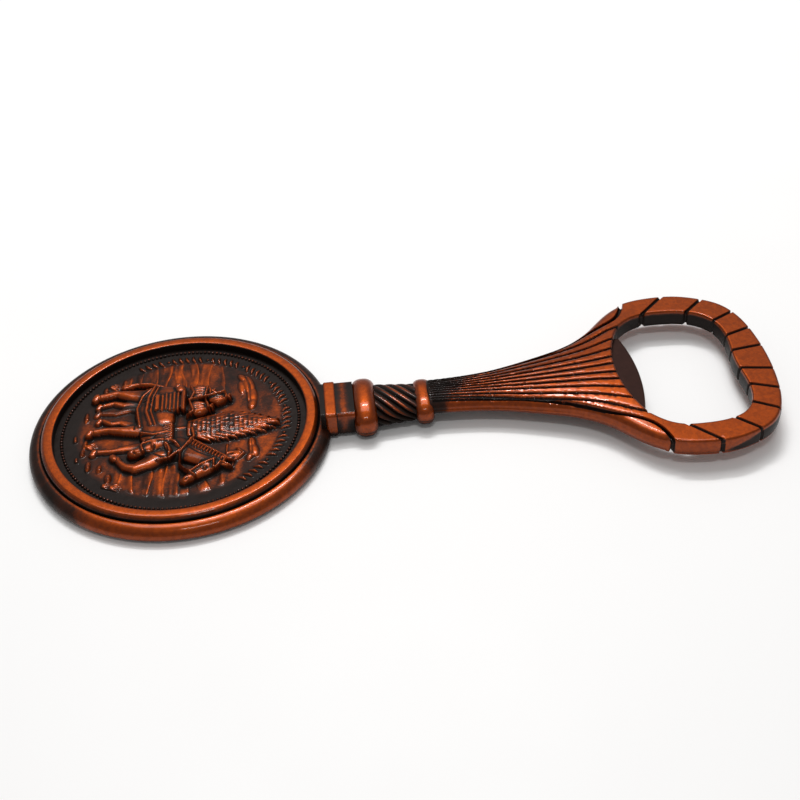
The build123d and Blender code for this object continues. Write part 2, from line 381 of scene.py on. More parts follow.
def triangulate(outer, holes, extra):
    """Plan points and triangles that fill the outline, fine near its edges."""
    loops = [outer] + list(holes)
    rings = [0.05, 0.12, 0.2, 0.3, 0.45]
    points = [inset for i, loop in enumerate(loops) for inset in inset_rings(loop, rings, i == 0)]
    points = np.concatenate(points + [extra])
    gaps = np.min([nearest(points, loop)[0] for loop in loops], axis=0)
    points = thin_out(points[(gaps > 0.035) & in_solid(points, outer, holes)], 0.07)
    links = []
    start = 0
    for loop in loops:
        n = len(loop)
        links += [(start + i, start + (i + 1) % n) for i in range(n)]
        start += n
    everything = np.concatenate(loops + [points])
    result = geometry.delaunay_2d_cdt([Vector(p) for p in everything], links, [], 0, 1e-6)
    plan = np.array([tuple(v) for v in result[0]])
    triangles = np.array([f for f in result[2] if len(f) == 3])
    triangles = triangles[in_solid(plan[triangles].mean(1), outer, holes)]
    used = np.unique(triangles)
    renumber = -np.ones(len(plan), int)
    renumber[used] = np.arange(len(used))
    return plan[used], renumber[triangles]


def open_sides(faces):
    """Directed sides that only one face has, in the order they are met."""
    sides = {}
    for face in faces:
        for a, b in zip(face, face[1:] + face[:1]):
            sides[(a, b)] = True
    return [(a, b) for a, b in sides if (b, a) not in sides]


def edge_facts(plan, loops, rim):
    """Each plan point's distance from the nearest edge, and the direction into the solid."""
    pairs = [nearest(plan, loop) for loop in loops]
    which = np.argmin([p[0] for p in pairs], axis=0)
    gap = np.min([p[0] for p in pairs], axis=0)
    foot = np.array([pairs[w][1][i] for i, w in enumerate(which)])
    inward = np.zeros_like(plan)
    for a, b in rim:
        run = plan[b] - plan[a]
        left = np.array([-run[1], run[0]]) / (np.linalg.norm(run) + 1e-12)
        inward[a] += left
        inward[b] += left
    lengths = np.linalg.norm(inward, axis=1)
    on_rim = lengths > 1e-9
    inward[on_rim] /= lengths[on_rim][:, None]
    towards = plan - foot
    size = np.linalg.norm(towards, axis=1)
    free = ~on_rim & (size > 1e-6)
    inward[free] = towards[free] / size[free][:, None]
    gap[on_rim] = 0
    return gap, inward


def plate(outer, holes, extra, top, bottom, shift, bulge=0.12):
    """A flat casting: one plan triangulation carries its top and its underside.

    top(points, edge distance) and bottom(...) give heights; shift(points, edge distance, inward)
    moves points in plan, for notches that run down the walls. The last value returned tells
    each vertex's level: 0 on top, 1 underneath, and between them on the walls.
    """
    plan, triangles = triangulate(outer, holes, extra)
    rim = open_sides(triangles.tolist())
    gap, inward = edge_facts(plan, [outer] + list(holes), rim)
    moved = plan + shift(plan, gap, inward)
    z_top = top(plan, gap)
    z_bottom = bottom(plan, gap)
    count = len(plan)
    verts = [np.column_stack([moved, z_top]), np.column_stack([moved, z_bottom])]
    faces = [tuple(t) for t in triangles] + [tuple(t[::-1] + count) for t in triangles]
    rim_points = np.unique(np.array(rim))
    slot_of = {p: i for i, p in enumerate(rim_points)}
    levels = np.linspace(0, 1, WALL_ROWS + 2)[1:-1]
    for level in levels:
        out = bulge * math.sin(math.pi * level)
        z = blend(z_top[rim_points], z_bottom[rim_points], level)
        verts.append(np.column_stack([moved[rim_points] - inward[rim_points] * out, z]))
    width = len(rim_points)

    def wall_vertex(point, row):
        if row == 0:
            return point
        if row == WALL_ROWS + 1:
            return point + count
        return 2 * count + (row - 1) * width + slot_of[point]

    for a, b in rim:
        for row in range(WALL_ROWS + 1):
            upper = (wall_vertex(b, row), wall_vertex(a, row))
            faces.append(upper + (wall_vertex(a, row + 1), wall_vertex(b, row + 1)))
    verts = np.concatenate(verts)
    source = np.concatenate([np.arange(count), np.arange(count)] + [rim_points] * WALL_ROWS)
    kind = np.concatenate([np.zeros(count), np.ones(count), np.repeat(levels, width)])
    return verts, faces, plan, gap, source, kind


# ---- Handle: fan and loop -----------------------------------------------------------------------
def fan_points():
    root = [(FAN_START - 1.2, FAN_HALF)]
    span = LOOP_WIDEST - FAN_START
    rise = LOOP_HALF - FAN_HALF
    return root + [(FAN_START + u * span, FAN_HALF + v * rise) for u, v in FAN_SHAPE]


def handle_outline(spacing=0.16):
    """Closed outline of the fan and loop, anticlockwise from the fan's root."""
    side = fan_points() + [(LOOP_WIDEST, LOOP_HALF)]
    side += [(LOOP_WIDEST + u * LOOP_REACH, v * LOOP_HALF) for u, v in LOOP_SHAPE]
    tip = [(LOOP_END, 0.0)]
    under = [(x, -y) for x, y in side[::-1]]
    curve = cubic_through(under[::-1] + tip + side[::-1], spacing)
    root_x = side[0][0]
    ends = np.linspace(FAN_HALF, -FAN_HALF, 40)[1:-1]
    return np.concatenate([curve, np.column_stack([np.full(len(ends), root_x), ends])])


def half_width_at(x):
    """The handle's half width, from its outline."""
    side = fan_points() + [(LOOP_WIDEST, LOOP_HALF)]
    curve = cubic_through(side, 0.2)
    return np.interp(x, curve[:, 0], curve[:, 1])


def mouth_outline(spacing=0.16):
    start_x = FAN_EDGE + FAN_EDGE_R - math.sqrt(FAN_EDGE_R**2 - FAN_EDGE_HALF**2)
    length = MOUTH_END - start_x
    upper = [(start_x, FAN_EDGE_HALF)]
    upper += [(start_x + u * length, v * MOUTH_HALF) for u, v in MOUTH_SHAPE]
    tip = [(MOUTH_END - 0.45, 0.0)]
    lower = [(x, -y) for x, y in upper[::-1]]
    rim = cubic_through(upper + tip + lower, spacing)
    edge = arc_between(rim[-1], (FAN_EDGE, 0), rim[0], 150)
    return np.concatenate([rim, edge[1:-1]])


def groove_lines():
    """Ends of every block groove, in plan."""
    lines = []
    for u0, v0, u1, v1 in BLOCK_GROOVES:
        for side in (1, -1):
            inner = (FAN_EDGE + u0 * MOUTH_LENGTH, side * v0 * MOUTH_HALF)
            outer = (LOOP_WIDEST + u1 * LOOP_REACH, side * v1 * LOOP_HALF)
            lines.append((np.array(inner), np.array(outer)))
    return lines


def flute_y(k, x):
    """How far from the middle a flute runs at x."""
    near_neck, at_edge = FLUTES[k]
    turn = smoothstep(FAN_EDGE - 11.0, FAN_EDGE + 4.9, x)
    squeeze = blend(0.8, 1.0, smoothstep(FAN_START, FAN_START + 18, x))
    return half_width_at(x) * squeeze * blend(near_neck, at_edge, turn)


def rail_path():
    return cubic_through([(FAN_EDGE + x, y) for x, y in RAIL_GROOVE], 0.3)


def narrowing(x, near_neck):
    """Share of their full width that the fan's grooves have at x."""
    return blend(near_neck, 1.0, smoothstep(FAN_START, FAN_EDGE - 6, x))


def trough(across, half_width):
    """A groove's section: flat floor, soft shoulders."""
    return smoothstep(0.0, 0.62, 1 - across / half_width)


def flute_cut(plan):
    """Share of the full depth that the flutes reach at plan points."""
    x, y = plan[:, 0], np.abs(plan[:, 1])
    wide = FLUTE_WIDTH / 2 * narrowing(x, FLUTE_NECK_SHARE)
    depth = np.zeros(len(plan))
    for k in range(len(FLUTES)):
        slope = (flute_y(k, x + 0.2) - flute_y(k, x - 0.2)) / 0.4
        across = np.abs(y - flute_y(k, x)) / np.sqrt(1 + slope**2)
        depth = np.maximum(depth, trough(across, wide) * (x < FAN_EDGE + 4.0))
    return depth * (x > FAN_START - 0.6)


def rail_cut(plan):
    folded = np.column_stack([plan[:, 0], np.abs(plan[:, 1])])
    wide = RAIL_WIDTH / 2 * narrowing(plan[:, 0], RAIL_NECK_SHARE)
    return trough(nearest(folded, rail_path(), closed=False)[0], wide)


def crispness(x):
    return blend(0.5, 1.0, smoothstep(FAN_START, FAN_START + 18, x))


def block_cut(plan):
    """Depth of the rounded grooves between the loop's blocks, at plan points."""
    depth = np.zeros(len(plan))
    for inner, outer in groove_lines():
        run = (outer - inner) / np.linalg.norm(outer - inner)
        rel = plan - inner
        along = rel @ run
        across = np.abs(rel[:, 0] * run[1] - rel[:, 1] * run[0])
        near = (along > -2.0) & (along < np.linalg.norm(outer - inner) + 2.0)
        cut = np.clip(1 - (across / (BLOCK_GROOVE_WIDTH / 2)) ** 2, 0, 1) * near
        depth = np.maximum(depth, cut)
    return depth


def edge_drop(gap, radius):
    """How far a rounded edge falls below the flat, by distance from the edge."""
    d = np.clip(radius - gap, 0, radius)
    return radius - np.sqrt(np.clip(radius**2 - d**2, 0, None))


def handle_crown(plan):
    x, y = plan[:, 0], plan[:, 1]
    share = np.clip(1 - (y / half_width_at(x)) ** 2, 0, 1)
    fade = 1 - smoothstep(FAN_EDGE, FAN_EDGE + 9.0, x)
    return CROWN * share * fade


def top_level(x):
    """Height of the handle's top edge along X."""
    rise = smoothstep(FAN_START + 4, LOOP_WIDEST - 4, x)
    return blend(FAN_START_TOP, LOOP_TOP, rise)


def rim_radius(x):
    """The fan's sides are well rounded and the loop's rim is crisp."""
    return blend(1.2, 0.45, smoothstep(FAN_EDGE + 4.4, FAN_EDGE + 5.4, x))


def handle_cut(plan):
    """Depth of every groove at plan points, in millimetres."""
    fan = np.maximum(FLUTE_DEPTH * flute_cut(plan), RAIL_DEPTH * rail_cut(plan)) * crispness(plan[:, 0])
    return np.maximum(fan, BLOCK_GROOVE_DEPTH * block_cut(plan))


def handle_heights(outline, mouth):
    """Functions for the top and underside of the fan and loop."""

    def rounding(plan):
        outer = nearest(plan, outline)[0]
        inner = nearest(plan, mouth)[0]
        return np.maximum(edge_drop(outer, rim_radius(plan[:, 0])), edge_drop(inner, 0.35))

    def top(plan, gap):
        level = top_level(plan[:, 0]) + handle_crown(plan)
        return level - handle_cut(plan) - rounding(plan)

    def under(plan, gap):
        level = HANDLE_BOTTOM - 0.4 * handle_crown(plan)
        return level + 0.8 * handle_cut(plan) + 0.55 * rounding(plan)

    return top, under


def handle_shift(plan, gap, inward):
    """Block grooves and the rail groove notch the walls too."""
    blocks = 0.7 * BLOCK_GROOVE_DEPTH * block_cut(plan)
    rail = 0.4 * rail_cut(plan) * (plan[:, 0] > FAN_EDGE + 3)
    notch = np.maximum(blocks, rail)
    return inward * (notch * np.clip(1 - gap / 0.9, 0, 1))[:, None]


def flute_points():
    """Plan points along the flutes and the rail groove, close together on their shoulders."""
    across = np.array([-0.52, -0.42, -0.34, -0.26, -0.18, 0.0, 0.18, 0.26, 0.34, 0.42, 0.52])
    xs = np.arange(FAN_START - 1.0, FAN_EDGE + 5.2, 0.38)
    narrow = narrowing(xs, FLUTE_NECK_SHARE)
    points = []
    for k in range(len(FLUTES)):
        for offset in across * FLUTE_WIDTH:
            y = flute_y(k, xs) + offset * narrow
            points += [np.column_stack([xs, side * y]) for side in (1, -1)]
    rail = rail_path()
    ahead = np.gradient(rail, axis=0)
    normal = np.column_stack([-ahead[:, 1], ahead[:, 0]]) / np.linalg.norm(ahead, axis=1)[:, None]
    narrow = narrowing(rail[:, 0], RAIL_NECK_SHARE)[:, None]
    for offset in across * RAIL_WIDTH:
        line = rail + offset * narrow * normal
        points += [line, line * (1, -1)]
    return points


def groove_points():
    """Plan points along the block grooves."""
    across = np.array([-0.52, -0.4, -0.3, -0.18, 0, 0.18, 0.3, 0.4, 0.52])
    points = []
    for inner, outer in groove_lines():
        length = np.linalg.norm(outer - inner)
        run = (outer - inner) / length
        along = np.arange(-0.4, length + 0.4, 0.22)
        normal = np.array([-run[1], run[0]])
        line = inner + along[:, None] * run
        points += [line + offset * normal for offset in across * BLOCK_GROOVE_WIDTH]
    return points


def handle_sample_points():
    """Plan points that follow the flutes and grooves, with an even fill between them."""
    fan_x = np.arange(FAN_START - 1, LOOP_END, 0.4)
    fan_y = np.arange(-LOOP_HALF, LOOP_HALF, 0.4)
    grid = np.stack(np.meshgrid(fan_x, fan_y), -1).reshape(-1, 2)
    grid += RNG.uniform(-0.05, 0.05, grid.shape)
    return np.concatenate(flute_points() + groove_points() + [grid[handle_cut(grid) < 1e-6]])


def handle_patina_and_shade(plan, mouth, source, kind):
    """Dark grooves and inner walls, a brown neck, copper elsewhere; painted shade along the fan's far
    side, further along the neck's far side, and up the walls near the loop's end.
    """
    x, y = plan[:, 0], plan[:, 1]
    groove = np.maximum.reduce([flute_cut(plan), rail_cut(plan), block_cut(plan)])
    groove = smoothstep(0.12, 0.5, groove)
    # The brown at the neck is patina; it is painted further along the far side than the near side, which
    # is painted shade.
    reach = FAN_START + blend(3.5, 13.0, smoothstep(-3.2, 2.5, y))
    neck = 0.88 * (1 - smoothstep(FAN_START + 1, reach, x))
    # Painted shade: the fan's far side is painted darker than its near side.
    painted_shade_far_side = 0.55 * smoothstep(0.72, 0.98, y / half_width_at(x))
    painted_shade_far_side *= 1 - smoothstep(FAN_EDGE - 8, FAN_EDGE, x)
    face = np.maximum.reduce([groove, neck, painted_shade_far_side])
    to_mouth = nearest(plan, mouth)[0]
    inner_wall = to_mouth < 0.02
    under_rim = (kind >= 1) & (to_mouth[source] < 0.9)
    wall = np.maximum.reduce([np.where(inner_wall, 1.0, 0.12), groove, neck])
    is_wall = (kind > 0) & (kind < 1)
    # Walls are darker towards the bottom. Near the loop's end the dark is painted almost to the top of
    # the wall: a painted dark reflection.
    foot = np.clip((kind - 0.62) * 2.2, 0, 1) * is_wall
    tip = smoothstep(LOOP_END - 16.0, LOOP_END - 5.0, x[source])
    painted_dark_reflection_rise = smoothstep(0.62 - 0.8 * tip, 0.9 - 0.8 * tip, kind)
    foot = np.maximum(foot, 1.15 * np.minimum(1, 4 * tip) * painted_dark_reflection_rise)
    top_of_wall = np.where(kind < 0.2, 0.6, 1.0)
    flat = np.where(under_rim, 0.95, face[source])
    return np.where(is_wall, np.maximum(wall[source] * top_of_wall, 0.8 * foot), flat)


def fan_and_loop(material):
    outline, mouth = handle_outline(), mouth_outline()
    top, under = handle_heights(outline, mouth)
    verts, faces, plan, gap, source, kind = plate(
        outline, [mouth], handle_sample_points(), top, under, handle_shift
    )
    patina_and_shade = handle_patina_and_shade(plan, mouth, source, kind)
    return make_object(
        "fluted_handle", verts, faces, material, ["opener_handle"], patina_and_shade, sharp=55
    )


# ---- Handle: neck -------------------------------------------------------------------------------
def ferrule(name, span, half_width, half_height, waist, material):
    """A rounded bead across the neck, round above and squarer below its middle."""
    rings = []
    for t in np.linspace(-1, 1, 45):
        s = math.sin(t * math.pi / 2)
        drop = waist * (1 - math.sqrt(max(0.0, 1 - abs(s) ** 2.5)))
        x = blend(span[0], span[1], (s + 1) / 2)
        section = rounded_section(x, half_width - drop, half_height - drop, NECK_Z, (2.5, 5.0), 144)
        parting = NECK_Z - 0.42 * half_height
        seam = 0.06 * np.exp(-(((section[:, 2] - parting) / 0.2) ** 2))
        section[:, 1] -= np.sign(section[:, 1]) * seam
        rings.append(section)
    verts, faces = skin(rings)
    middle = (span[0] + span[1]) / 2
    edge = np.abs(verts[:, 0] - middle) / ((span[1] - span[0]) / 2)
    level = (verts[:, 2] - NECK_Z) / half_height
    seam = 0.7 * np.exp(-(((level + 0.42) / 0.1) ** 2))
    below = 0.8 * (1 - smoothstep(-0.6, -0.42, level))
    # Darker towards the bottom of the bead.
    lower_half_dark = 0.35 * (1 - smoothstep(-0.4, 0.25, level))
    patina_and_shade = np.maximum.reduce([smoothstep(0.88, 1.0, edge), seam, below, lower_half_dark, np.full(len(verts), 0.16)])
    return make_object(name, verts, faces, material, ["opener_handle"], patina_and_shade, sharp=70)


def rope_twist(material):
    """Rounded strands that turn about the neck as they run along it."""
    strands = 11
    turn = math.radians(122)
    columns = strands * 20
    angles = np.linspace(0, 2 * math.pi, columns, endpoint=False)
    rings, patina_and_shade = [], []
    for share in np.linspace(0, 1, 100):
        half_width, half_height = (blend(a, b, share) for a, b in zip(SOCKET_HALF, TWIST_END_HALF))
        section = rounded_section(0, half_width, half_height, NECK_Z, (2.3, 3.2), columns)
        phase = ((angles - turn * share) * strands / (2 * math.pi)) % 1.0
        across = np.abs(2 * phase - 1)
        band = 1 - smoothstep(-0.75, -0.55, np.sin(angles))
        ridge = np.maximum(np.sqrt(np.clip(1 - across**1.8, 0, 1)), band)
        scale = 1 - 0.62 * (1 - ridge) / half_height
        section[:, 1] *= scale
        section[:, 2] = NECK_Z + (section[:, 2] - NECK_Z) * scale
        section[:, 0] = blend(TWIST[0] - 0.3, TWIST[1] + 0.3, share)
        rings.append(section)
        crest = smoothstep(0.12, 0.55, across)
        on_top = smoothstep(-0.15, 0.5, np.sin(angles)) * math.sin(math.pi * (0.12 + 0.76 * share))
        patina_and_shade.append(np.maximum(blend(0.95, 0.34, on_top * (1 - crest)), 0.85 * band))
    verts, faces = skin(rings)
    values = np.concatenate(patina_and_shade + [[1.0, 1.0]])
    return make_object(
        "rope_twist", verts, faces, material, ["opener_handle"], values, sharp=75
    )


def socket_block(material):
    """The rectangular socket and the brighter collar round its root, as one piece."""
    start, end = FLANGE_R - 1.15, FLANGE_R + 0.85
    stations = [
        (BEZEL_R + 0.4, 0.0),
        (start, 0.0),
        (start + 0.06, 0.14),
        (start + 0.2, 0.2),
        (end - 0.2, 0.2),
        (end - 0.06, 0.14),
        (end, 0.0),
        (SOCKET_END + 0.3, 0.0),
    ]
    dense = []
    for (x0, p0), (x1, p1) in zip(stations, stations[1:]):
        steps = max(2, int((x1 - x0) / 0.25))
        dense += [(blend(x0, x1, t), blend(p0, p1, t)) for t in np.linspace(0, 1, steps, endpoint=False)]
    dense.append(stations[-1])
    wide, tall = SOCKET_HALF
    rings = [corner_section(x, wide + p, tall + p, NECK_Z, 0.45, 0.22) for x, p in dense]
    verts, faces = skin(rings)
    x, y, z = verts.T
    collar = smoothstep(start - 0.02, start + 0.08, x) * (1 - smoothstep(end - 0.08, end + 0.02, x))
    # The stripe is wear; towards the near side it is painted up to a fifth brighter, which is painted
    # light.
    worn_stripe_and_near_light = np.exp(-(((x - (end + 1.35)) / 0.8) ** 2)) * blend(0.8, 1.0, smoothstep(3.0, -4.0, y))
    shoulder = smoothstep(4.1, 4.4, np.abs(y)) * smoothstep(NECK_Z + 0.8, NECK_Z + 1.6, z) * (x > end)
    front = smoothstep(4.55, 4.78, np.abs(y)) * smoothstep(NECK_Z - 0.6, NECK_Z + 1.2, z) * (x > end)
    middle = np.exp(-(((x - (end + 1.5)) / 1.2) ** 2))
    low = 1 - smoothstep(NECK_Z - 2.0, NECK_Z - 1.0, z)
    patina_and_shade = 1 - np.maximum.reduce([collar, 0.6 * worn_stripe_and_near_light, 0.7 * shoulder, 0.76 * front * middle])
    patina_and_shade = np.maximum(np.where(x < start - 0.02, 1.0, patina_and_shade), 0.9 * low)
    return make_object(
        "socket_collar", verts, faces, material, ["medallion_tray"], patina_and_shade, sharp=40
    )


# ---- Medallion ----------------------------------------------------------------------------------
def flange(material):
    """Rolled rim of the tray and the dark groove inside it, with painted light on the rim's near side and
    a painted highlight line along its inner top edge.
    """
    waist, widest_z, top_z = FLANGE_R - RIM_ROLL, 1.2, 2.9
    profile = []
    for t in np.linspace(-90, 90, 44):
        a = math.radians(t)
        tall = top_z - widest_z if t > 0 else widest_z
        profile.append((waist + RIM_ROLL * math.cos(a) ** 0.92, widest_z + tall * math.sin(a)))
    profile += [
        (waist - 0.10, 2.88),
        (waist - 0.17, 2.80),
        (waist - 0.20, 2.65),
        (waist - 0.24, 2.42),
        (waist - 0.32, 2.36),
        (BEZEL_R - 0.3, 2.35),
        (BEZEL_R - 0.3, TRAY_FLOOR),
        (POCKET_R, TRAY_FLOOR),
        (POCKET_R, 0.0),
    ]
    verts, faces = lathe(profile, TURN_STEPS)
    r = np.hypot(verts[:, 0], verts[:, 1])
    z = verts[:, 2]
    turn = np.degrees(np.arctan2(verts[:, 1], verts[:, 0])) % 360
    # Painted light: the near side of the rim is painted bright copper and the rest of the way round dark,
    # as the lamps fall on it.
    painted_light_near_side = smoothstep(218, 246, turn) * (1 - smoothstep(312, 338, turn))
    groove = 1 - smoothstep(waist - 0.14, waist + 0.02, r)
    under = 1 - smoothstep(0.15, 0.9, z)
    # Painted highlight: a thin lighter line along the rim's inner top edge.
    lip = 0.35 * np.exp(-(((r - waist - 0.15) / 0.25) ** 2))
    patina_and_shade = np.maximum.reduce([groove, 0.85 * under, blend(0.82, 0.10, painted_light_near_side) - lip])
    return make_object(
        "medallion_flange", verts, faces, material, ["medallion_tray"], patina_and_shade
    )


def bezel(material):
    """Bright raised ring: flat top, a crisp edge, then a rounded shoulder down to the groove."""
    inner_r = BEZEL_R - BEZEL_WIDTH
    top = BEZEL_TOP
    profile = [
        (inner_r, TRAY_FLOOR),
        (inner_r, top - 0.9),
        (inner_r + 0.02, top - 0.3),
        (inner_r + 0.07, top - 0.12),
        (inner_r + 0.2, top - 0.02),
        (inner_r + 0.4, top),
        (inner_r + 0.9, top + 0.015),
        (BEZEL_R - 0.66, top + 0.01),
        (BEZEL_R - 0.56, top - 0.01),
        (BEZEL_R - 0.48, top - 0.06),
        (BEZEL_R - 0.36, top - 0.14),
        (BEZEL_R - 0.2, top - 0.26),
        (BEZEL_R - 0.07, top - 0.42),
        (BEZEL_R - 0.01, top - 0.6),
        (BEZEL_R, top - 0.85),
        (BEZEL_R, TRAY_FLOOR),
    ]
    verts, faces = lathe(profile, TURN_STEPS)
    r = np.hypot(verts[:, 0], verts[:, 1])
    z = verts[:, 2]
    wall = (1 - smoothstep(inner_r + 0.03, inner_r + 0.2, r)) * (1 - smoothstep(top - 0.1, top, z))
    foot = smoothstep(BEZEL_R - 0.24, BEZEL_R - 0.04, r) * (1 - smoothstep(top - 0.6, top - 0.28, z))
    shoulder = 0.5 * smoothstep(BEZEL_R - 0.5, BEZEL_R - 0.2, r)
    patina_and_shade = np.maximum.reduce([wall, foot, shoulder])
    return make_object(
        "bezel_band", verts, faces, material, ["bezel_ring"], patina_and_shade, sharp=50
    )


def beads(material):
    """A row of small beads round the edge of the field."""
    count, ring_r, size = 172, 21.35, 0.33
    lats, longs = 7, 12
    verts, faces, patina_and_shade = [], [], []
    for i in range(count):
        a = 2 * math.pi * i / count
        centre = np.array([ring_r * math.cos(a), ring_r * math.sin(a), FIELD_Z + 0.02])
        radius = size * (1 + 0.06 * RNG.uniform(-1, 1))
        base = len(verts)
        verts.append(centre + (0, 0, radius))
        patina_and_shade.append(0.45)
        for j in range(1, lats):
            t = math.pi * j / lats
            for k in range(longs):
                p = 2 * math.pi * k / longs
                step = (math.sin(t) * math.cos(p), math.sin(t) * math.sin(p), math.cos(t))
                verts.append(centre + radius * np.array(step))
                patina_and_shade.append(0.45 + 0.55 * min(1.0, j / 3.2))
        verts.append(centre - (0, 0, radius))
        patina_and_shade.append(1.0)
        last = len(verts) - 1
        for k in range(longs):
            n = (k + 1) % longs
            faces.append((base, base + 1 + k, base + 1 + n))
            faces.append((last, last - longs + n, last - longs + k))
            for j in range(lats - 2):
                r0, r1 = base + 1 + j * longs, base + 1 + (j + 1) * longs
                faces.append((r0 + k, r1 + k, r1 + n, r0 + n))
    return make_object(
        "bead_border", verts, faces, material, ["relief_disc"], patina_and_shade, sharp=80
    )


# ---- Relief: heights drawn as strokes on a grid -------------------------------------------------
class Relief:
    """A height field in the picture's own axes: u to the right, v up, in millimetres."""

    def __init__(self, radius, step):
        count = int(2 * radius / step) + 1
        line = np.linspace(-radius, radius, count)
        self.step = line[1] - line[0]
        self.u, self.v = np.meshgrid(line, line)
        self.h = np.zeros_like(self.u)

    def window(self, u, v, reach):
        """The part of the grid near some points."""
        line = self.u[0]
        lo_u, hi_u = np.searchsorted(line, (min(u) - reach, max(u) + reach))
        lo_v, hi_v = np.searchsorted(line, (min(v) - reach, max(v) + reach))
        return slice(lo_v, hi_v), slice(lo_u, hi_u)

    def put(self, where, shape):
        """Raises the surface to a shape, keeping whatever already stands higher."""
        self.h[where] = np.maximum(self.h[where], shape)

    def along(self, points):
        """The window round a chain, then each limb's ends, share along it and distance from it."""
        pts = np.array(points, float)
        where = self.window(pts[:, 0], pts[:, 1], pts[:, 2].max() + 0.2)
        u, v = self.u[where], self.v[where]
        limbs = []
        for a, b in zip(pts, pts[1:]):
            run = b[:2] - a[:2]
            t = np.clip(((u - a[0]) * run[0] + (v - a[1]) * run[1]) / (run @ run), 0, 1)
            limbs.append((a, b, t, np.hypot(u - a[0] - t * run[0], v - a[1] - t * run[1])))
        return where, limbs

    def stroke(self, points, base=0.0, power=0.5):
        """A chain of (u, v, radius, height) joined by tapering rounded limbs."""
        where, limbs = self.along(points)
        for a, b, t, gap in limbs:
            dome = np.clip(1 - (gap / blend(a[2], b[2], t)) ** 2, 0, None) ** power
            self.put(where, np.where(dome > 0, base + blend(a[3], b[3], t) * dome, 0))

    def cut(self, points, depth):
        """A fine groove along (u, v, half width) points."""
        where, limbs = self.along(points)
        domes = [np.clip(1 - (gap / blend(a[2], b[2], t)) ** 2, 0, 1) for a, b, t, gap in limbs]
        self.h[where] = np.maximum(self.h[where] - depth * np.max(domes, axis=0), 0.0)

    def blob(self, u, v, ru, rv, height, turn=0.0, power=0.5, base=0.0):
        """A rounded oval mound."""
        where = self.window([u], [v], max(ru, rv) + 0.2)
        a = math.radians(turn)
        du, dv = self.u[where] - u, self.v[where] - v
        x = (du * math.cos(a) + dv * math.sin(a)) / ru
        y = (-du * math.sin(a) + dv * math.cos(a)) / rv
        dome = np.clip(1 - x**2 - y**2, 0, None) ** power
        self.put(where, np.where(dome > 0, base + height * dome, 0))

    def blur(self, field, sigma):
        """Gaussian blur by Fourier transform; sigma in millimetres."""
        n = field.shape[0]
        freq = np.fft.fftfreq(n, self.step)
        fall = np.exp(-2 * (math.pi * sigma) ** 2 * (freq[:, None] ** 2 + freq[None, :] ** 2))
        return np.real(np.fft.ifft2(np.fft.fft2(field) * fall))

    def noise(self, sigma, stretch=1.0):
        """Smooth random field of unit spread, optionally stretched along u."""
        n = self.h.shape[0]
        raw = RNG.normal(size=(n, n))
        freq = np.fft.fftfreq(n, self.step)
        fu, fv = freq[None, :] * stretch, freq[:, None]
        fall = np.exp(-2 * (math.pi * sigma) ** 2 * (fu**2 + fv**2))
        field = np.real(np.fft.ifft2(np.fft.fft2(raw) * fall))
        return field / field.std()


def draw_hills(r):
    """Low land behind the animals: wavy terraces at both sides, each with a crisp crest."""
    wave = r.noise(0.8, 3.5)
    fine = r.noise(0.22, 5.0)
    side = smoothstep(7.5, 11.0, np.abs(r.u)) * (1 - smoothstep(17.6, 18.6, np.hypot(r.u, r.v)))
    land = np.zeros_like(r.h)
    crests = (7.6, 4.9, 2.4, 0.2, -2.3, -4.9, -7.6, -10.2)
    for crest, share in zip(crests, (0.5, 0.8, 1.0, 0.8, 1.0, 1.0, 0.9, 0.7)):
        level = crest + 0.24 * wave + 0.35 * np.sin(0.5 * r.u + crest)
        below = level - r.v
        slope = np.exp(-np.clip(below, 0, None) / 0.75) * smoothstep(-0.16, 0.08, below)
        land = np.maximum(land, 0.20 * share * slope)
    r.h = np.maximum(r.h, side * (land + 0.035 * (1 + fine) * (land > 0.02)))


def draw_clouds(r):
    """Two drifting clouds, built from overlapping puffs."""
    for u, v, ru, rv, h, turn in (
        (-9.9, 12.2, 3.0, 1.15, 0.40, 12),
        (-6.6, 12.9, 2.6, 1.0, 0.45, 2),
        (-4.3, 12.9, 1.7, 0.8, 0.5, -8),
        (-12.0, 11.2, 1.6, 0.75, 0.35, 30),
        (-9.4, 10.9, 2.0, 0.6, 0.3, 6),
        (6.6, 12.8, 1.7, 0.7, 0.45, 4),
        (8.3, 13.1, 1.9, 0.85, 0.5, 12),
        (9.9, 12.4, 1.2, 0.6, 0.4, -20),
    ):
        r.blob(u, v, ru, rv, h, turn)
    r.cut([(-12.4, 11.7, 0.16), (-9.6, 12.4, 0.22), (-5.0, 12.4, 0.12)], 0.18)
    r.cut([(5.6, 12.6, 0.12), (9.4, 12.7, 0.14)], 0.16)


def draw_tree(r):
    """A tall poplar behind the animals: a short trunk and a crown of upswept leaves."""
    r.stroke([(1.4, -1.5, 0.9, 0.8), (1.5, 3.0, 0.6, 0.8)], 0.2)
    low, high, widest = 1.6, 16.6, 3.1
    rows = 19
    for row in range(rows):
        share = row / (rows - 1)
        v = blend(low, high, share)
        reach = widest * math.sin(math.pi * (0.14 + 0.84 * share) ** 0.85) ** 0.8
        count = max(1, int(reach / 0.42))
        for k in range(-count, count + 1):
            across = (k + 0.5 * (row % 2)) / (count + 0.5)
            if abs(across) > 1:
                continue
            u = 1.6 + reach * across + 0.25 * math.sin(0.5 * v)
            lift = 0.45 + 0.55 * math.sqrt(1 - across**2) + RNG.uniform(-0.07, 0.07)
            tip = (u + 0.75 * across + RNG.uniform(-0.1, 0.1), v + 1.25 + RNG.uniform(-0.15, 0.15))
            r.stroke([(u, v, 0.40, 0.38), (*tip, 0.12, 0.2)], base=lift)


